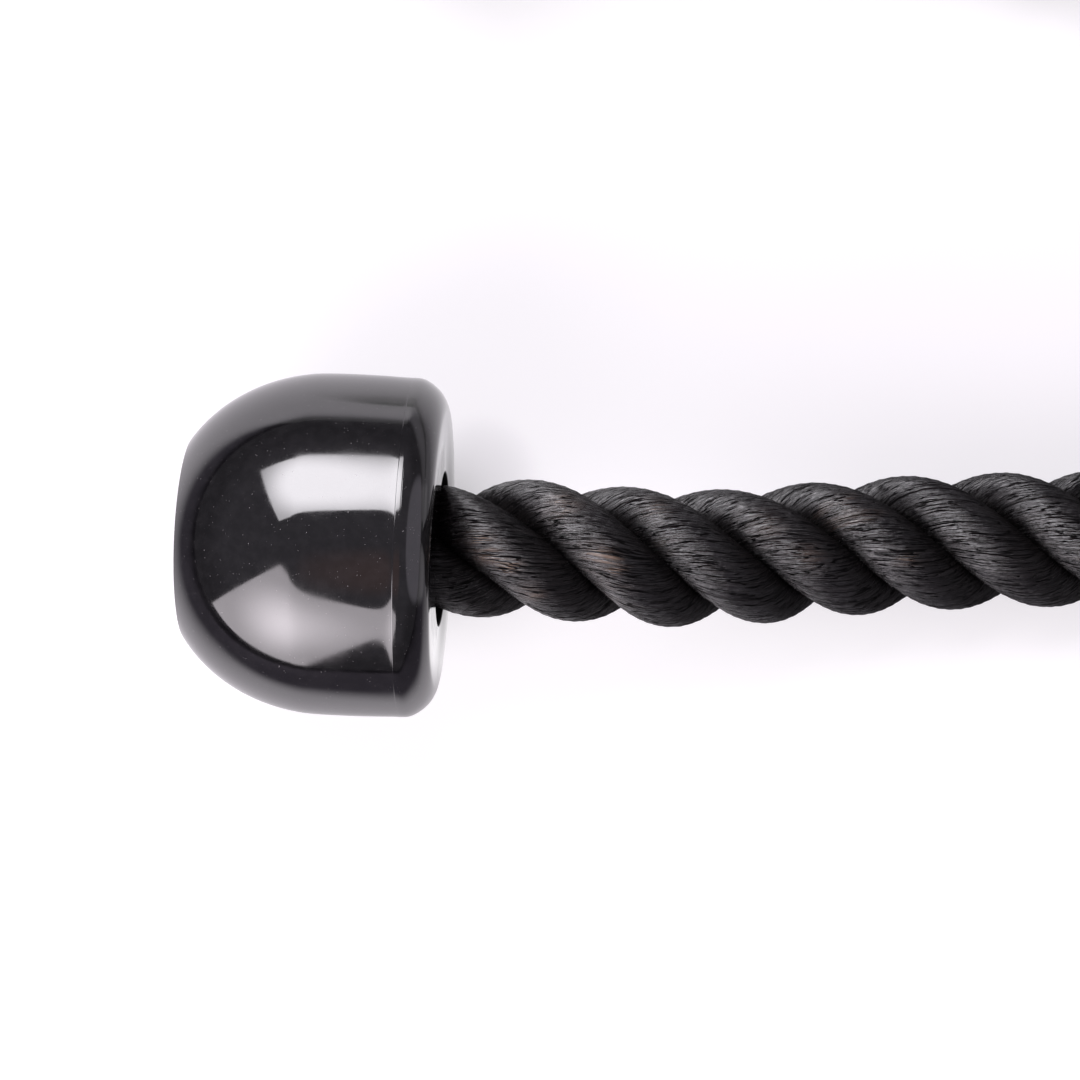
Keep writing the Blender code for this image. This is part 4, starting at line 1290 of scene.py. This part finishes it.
def lay_floor(target, right, up):
    """A white sheet, whose near edge and left edge the dome stop's rim reflects, with painted light
    and a painted shadow in its glow.
    """
    corners = [(-1, -1), (1, -1), (1, 1), (-1, 1)]
    mesh = bpy.data.meshes.new("table_top")
    corners = [(x * FLOOR_REACH, y * FLOOR_REACH, 0.0) for x, y in corners]
    mesh.from_pydata(corners, [], [(0, 1, 2, 3)])
    floor = add_object("table_top", mesh)
    material, graph, shader = new_material("white_sheet")
    mesh.materials.append(material)
    ramp = graph.smooth

    # Metres up and to the right in the picture, from its middle
    place = graph.where()
    above = place.reckon("DOT_PRODUCT", place, tuple(up)) - target.dot(up)
    across = place.reckon("DOT_PRODUCT", place, tuple(right)) - target.dot(right)

    # The sheet as the glossy pieces mirror it: its near and left edges, and a fade to the right
    slant = graph.math("MAXIMUM", across + 0.07, 0.0) * 0.5
    sheet = ramp(above - slant, -0.172, -0.102) * ramp(across + above * 0.25, -0.26, -0.12)
    sheet = sheet * ramp(above, 0.25, 0.9, 1.0, 0.5) * ramp(across, -0.005, 0.09, 1.0, 0.3)
    # It runs on towards the pale wall at the right
    beside = graph.math("ABSOLUTE", above) / graph.math("MAXIMUM", across, 0.05)
    runner = ramp(beside, 0.5, 0.36) * ramp(across, 0.05, 0.15)
    sheet = graph.math("MAXIMUM", sheet, runner * RUNNER_STRENGTH)
    # A painted pool of light, which only reflections show: it is brighter below the rope, beside
    # the stop's face
    painted_light_by_face = ramp(above, 0.0, -0.012, 0.1, 0.6) * ramp(above, -0.034, -0.025)
    painted_light_by_face = painted_light_by_face * ramp(across, -0.034, -0.024) * ramp(across, 0.008, -0.012)

    # The sheet as the picture shows it: painted light in its glow, brighter below the rope, towards
    # the top and far to the sides, and dimmer near the object
    near = ramp(above, 0.0, -0.03, 0.53, 0.71) + ramp(above, 0.05, 0.11, 0.0, 0.15)
    near = near * ramp(across, 0.02, 0.09, 1.0, 0.94)
    # Painted light: the glow rises far to the sides
    aside = ramp(graph.math("ABSOLUTE", across), 0.115, 0.3)
    near = graph.math("MAXIMUM", near, aside * ASIDE_STRENGTH)
    # A painted shadow: the dim spot in the corner between the stop's face and the rope
    corner = (across + 0.0145) ** 2 + (above - 0.0145) ** 2
    near = near - ramp(corner, 0.0, 0.0002, 0.12, 0.0)

    camera_ray = graph.node("ShaderNodeLightPath", (), (), "Is Camera Ray")
    glossy_ray = camera_ray.out("Is Glossy Ray")
    colour = graph.mix(glossy_ray * (1.0 - sheet), SHEET_COLOUR, BEYOND_COLOUR)
    graph.feed(shader.inputs["Base Color"], colour)
    # The glow: painted light and a painted shadow for the camera, and the painted light by the face
    # for reflections
    glow = camera_ray * near + glossy_ray * sheet * (painted_light_by_face + SHEET_STRENGTH)
    graph.feed(shader.inputs["Emission Color"], graph.mix(glow, BLACK, FLOOR_WHITE))
    for name, item in (("Roughness", 1.0), ("Specular IOR Level", 0.0), ("Emission Strength", 1.0)):
        shader.inputs[name].default_value = item


def wear_rope(rope, spots):
    """Marks how worn brown each point of the rope is."""
    mesh = rope.data
    places = np.empty(3 * len(mesh.vertices))
    mesh.vertices.foreach_get("co", places)
    places = places.reshape(-1, 3)
    worn = np.zeros(len(places))
    for spot, reach, depth in spots:
        away = np.linalg.norm((places - np.array(spot))[:, :2], axis=1)
        on_top = places[:, 2] > 0.5 * spot[2]
        worn = np.maximum(worn, depth * on_top * np.exp(-((away / reach) ** 2)))
    mesh.attributes.new("worn", "FLOAT", "POINT").data.foreach_set("value", worn)


def dress(target, right, up):
    fibre = fibre_material()
    moulding = moulding_material()
    chrome = metal_material("chrome_plate", CHROME_COLOUR, smoothest=0.06, roughest=0.16)
    steel = metal_material("zinc_steel", STEEL_COLOUR, 0.22, 0.38, brushed=0.1)
    alloy = metal_material("crimped_alloy", ALLOY_COLOUR, 0.3, 0.5, brushed=0.1)
    tree = rope_tree()
    nodes = frame["nodes"]
    pixel = VIEW_WIDTH / IMAGE_SIZE
    middle = IMAGE_SIZE / 2
    spots = [
        (target + right * (x - middle) * pixel + up * (middle - y) * pixel, reach * pixel, depth)
        for x, y, reach, depth in WORN_PIXELS
    ]

    for letter, side in (("a", -1), ("b", 1)):
        points = leg_path(side)
        free = path_length(points) - ROPE_IN_CAP
        narrow_from = free - NARROW_AHEAD
        rope = laid_rope(f"laid_rope_{letter}", tree, points, fibre, LEG_PHASE, narrow_from)
        wear_rope(rope, spots)
        # The photographed stop lies alone, so the other leg is left out of all reflections
        rope.visible_glossy = side < 0
        place, _ = leg_line(side)
        start, end = place(0.0), place(NECK_LENGTH)
        tuple(start)
        tuple(end)
        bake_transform(rope)
        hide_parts(f"rope_neck_{letter}", f"rope_leg_{letter}", f"rope_end_{letter}")
        tuple(start)
        face, outward = cap_place(side)
        cap = dome_stop(f"dome_stop_{letter}", moulding, along(outward, face))
        plug = dome_plug(f"dome_plug_{letter}", moulding, along(outward, face))
        for piece, node in ((cap, f"end_cap_{letter}"), (plug, f"end_plug_{letter}")):
            piece.visible_glossy = side < 0
            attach(piece, f"cap_{letter}")
            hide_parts(node)

    fold = laid_rope("laid_rope_fold", tree, fold_path(), fibre, FOLD_PHASE)
    wear_rope(fold, [])
    pin, pin_washer, cotter = pin_and_keepers(steel)
    nut, thrust_washer = nut_and_washer(steel)
    for piece, body, node, slot in (
        (fold, "clamp", "rope_fold", "rope"),
        (oval_sleeve(chrome), "clamp", "clamp_sleeve", "chrome"),
        (grooved_thimble(steel), "clamp", "thimble", "steel"),
        (forked_jaw(chrome), "jaw", "swivel_jaw", "chrome"),
        (pin, "jaw", "clevis_pin", "steel"),
        (pin_washer, "jaw", "pin_washer", "steel"),
        (cotter, "jaw", "cotter_pin", "steel"),
        (thrust_washer, "jaw", "thrust_washer", "steel"),
        (forged_eye(chrome), "eye", "swivel_eye", "chrome"),
        (nut, "eye", "shank_nut", "steel"),
    ):
        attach(piece, body)
        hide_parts(node)

    for letter in "ab":
        for node, material in (("stop_washer", steel), ("crimp_ferrule", alloy)):
            nodes[f"{node}_{letter}"].visible_glossy = letter == "a"
            for slot in nodes[f"{node}_{letter}"].material_slots:
                slot.material = material


bpy.context.scene.view_settings.view_transform = "Standard"
for extra in [o for o in bpy.data.objects if o.name in ("Cube", "Light", "Camera")]:
    bpy.data.objects.remove(extra, do_unlink=True)
view = point_camera()
lay_floor(*view)
light_studio(*view)
dress(*view)
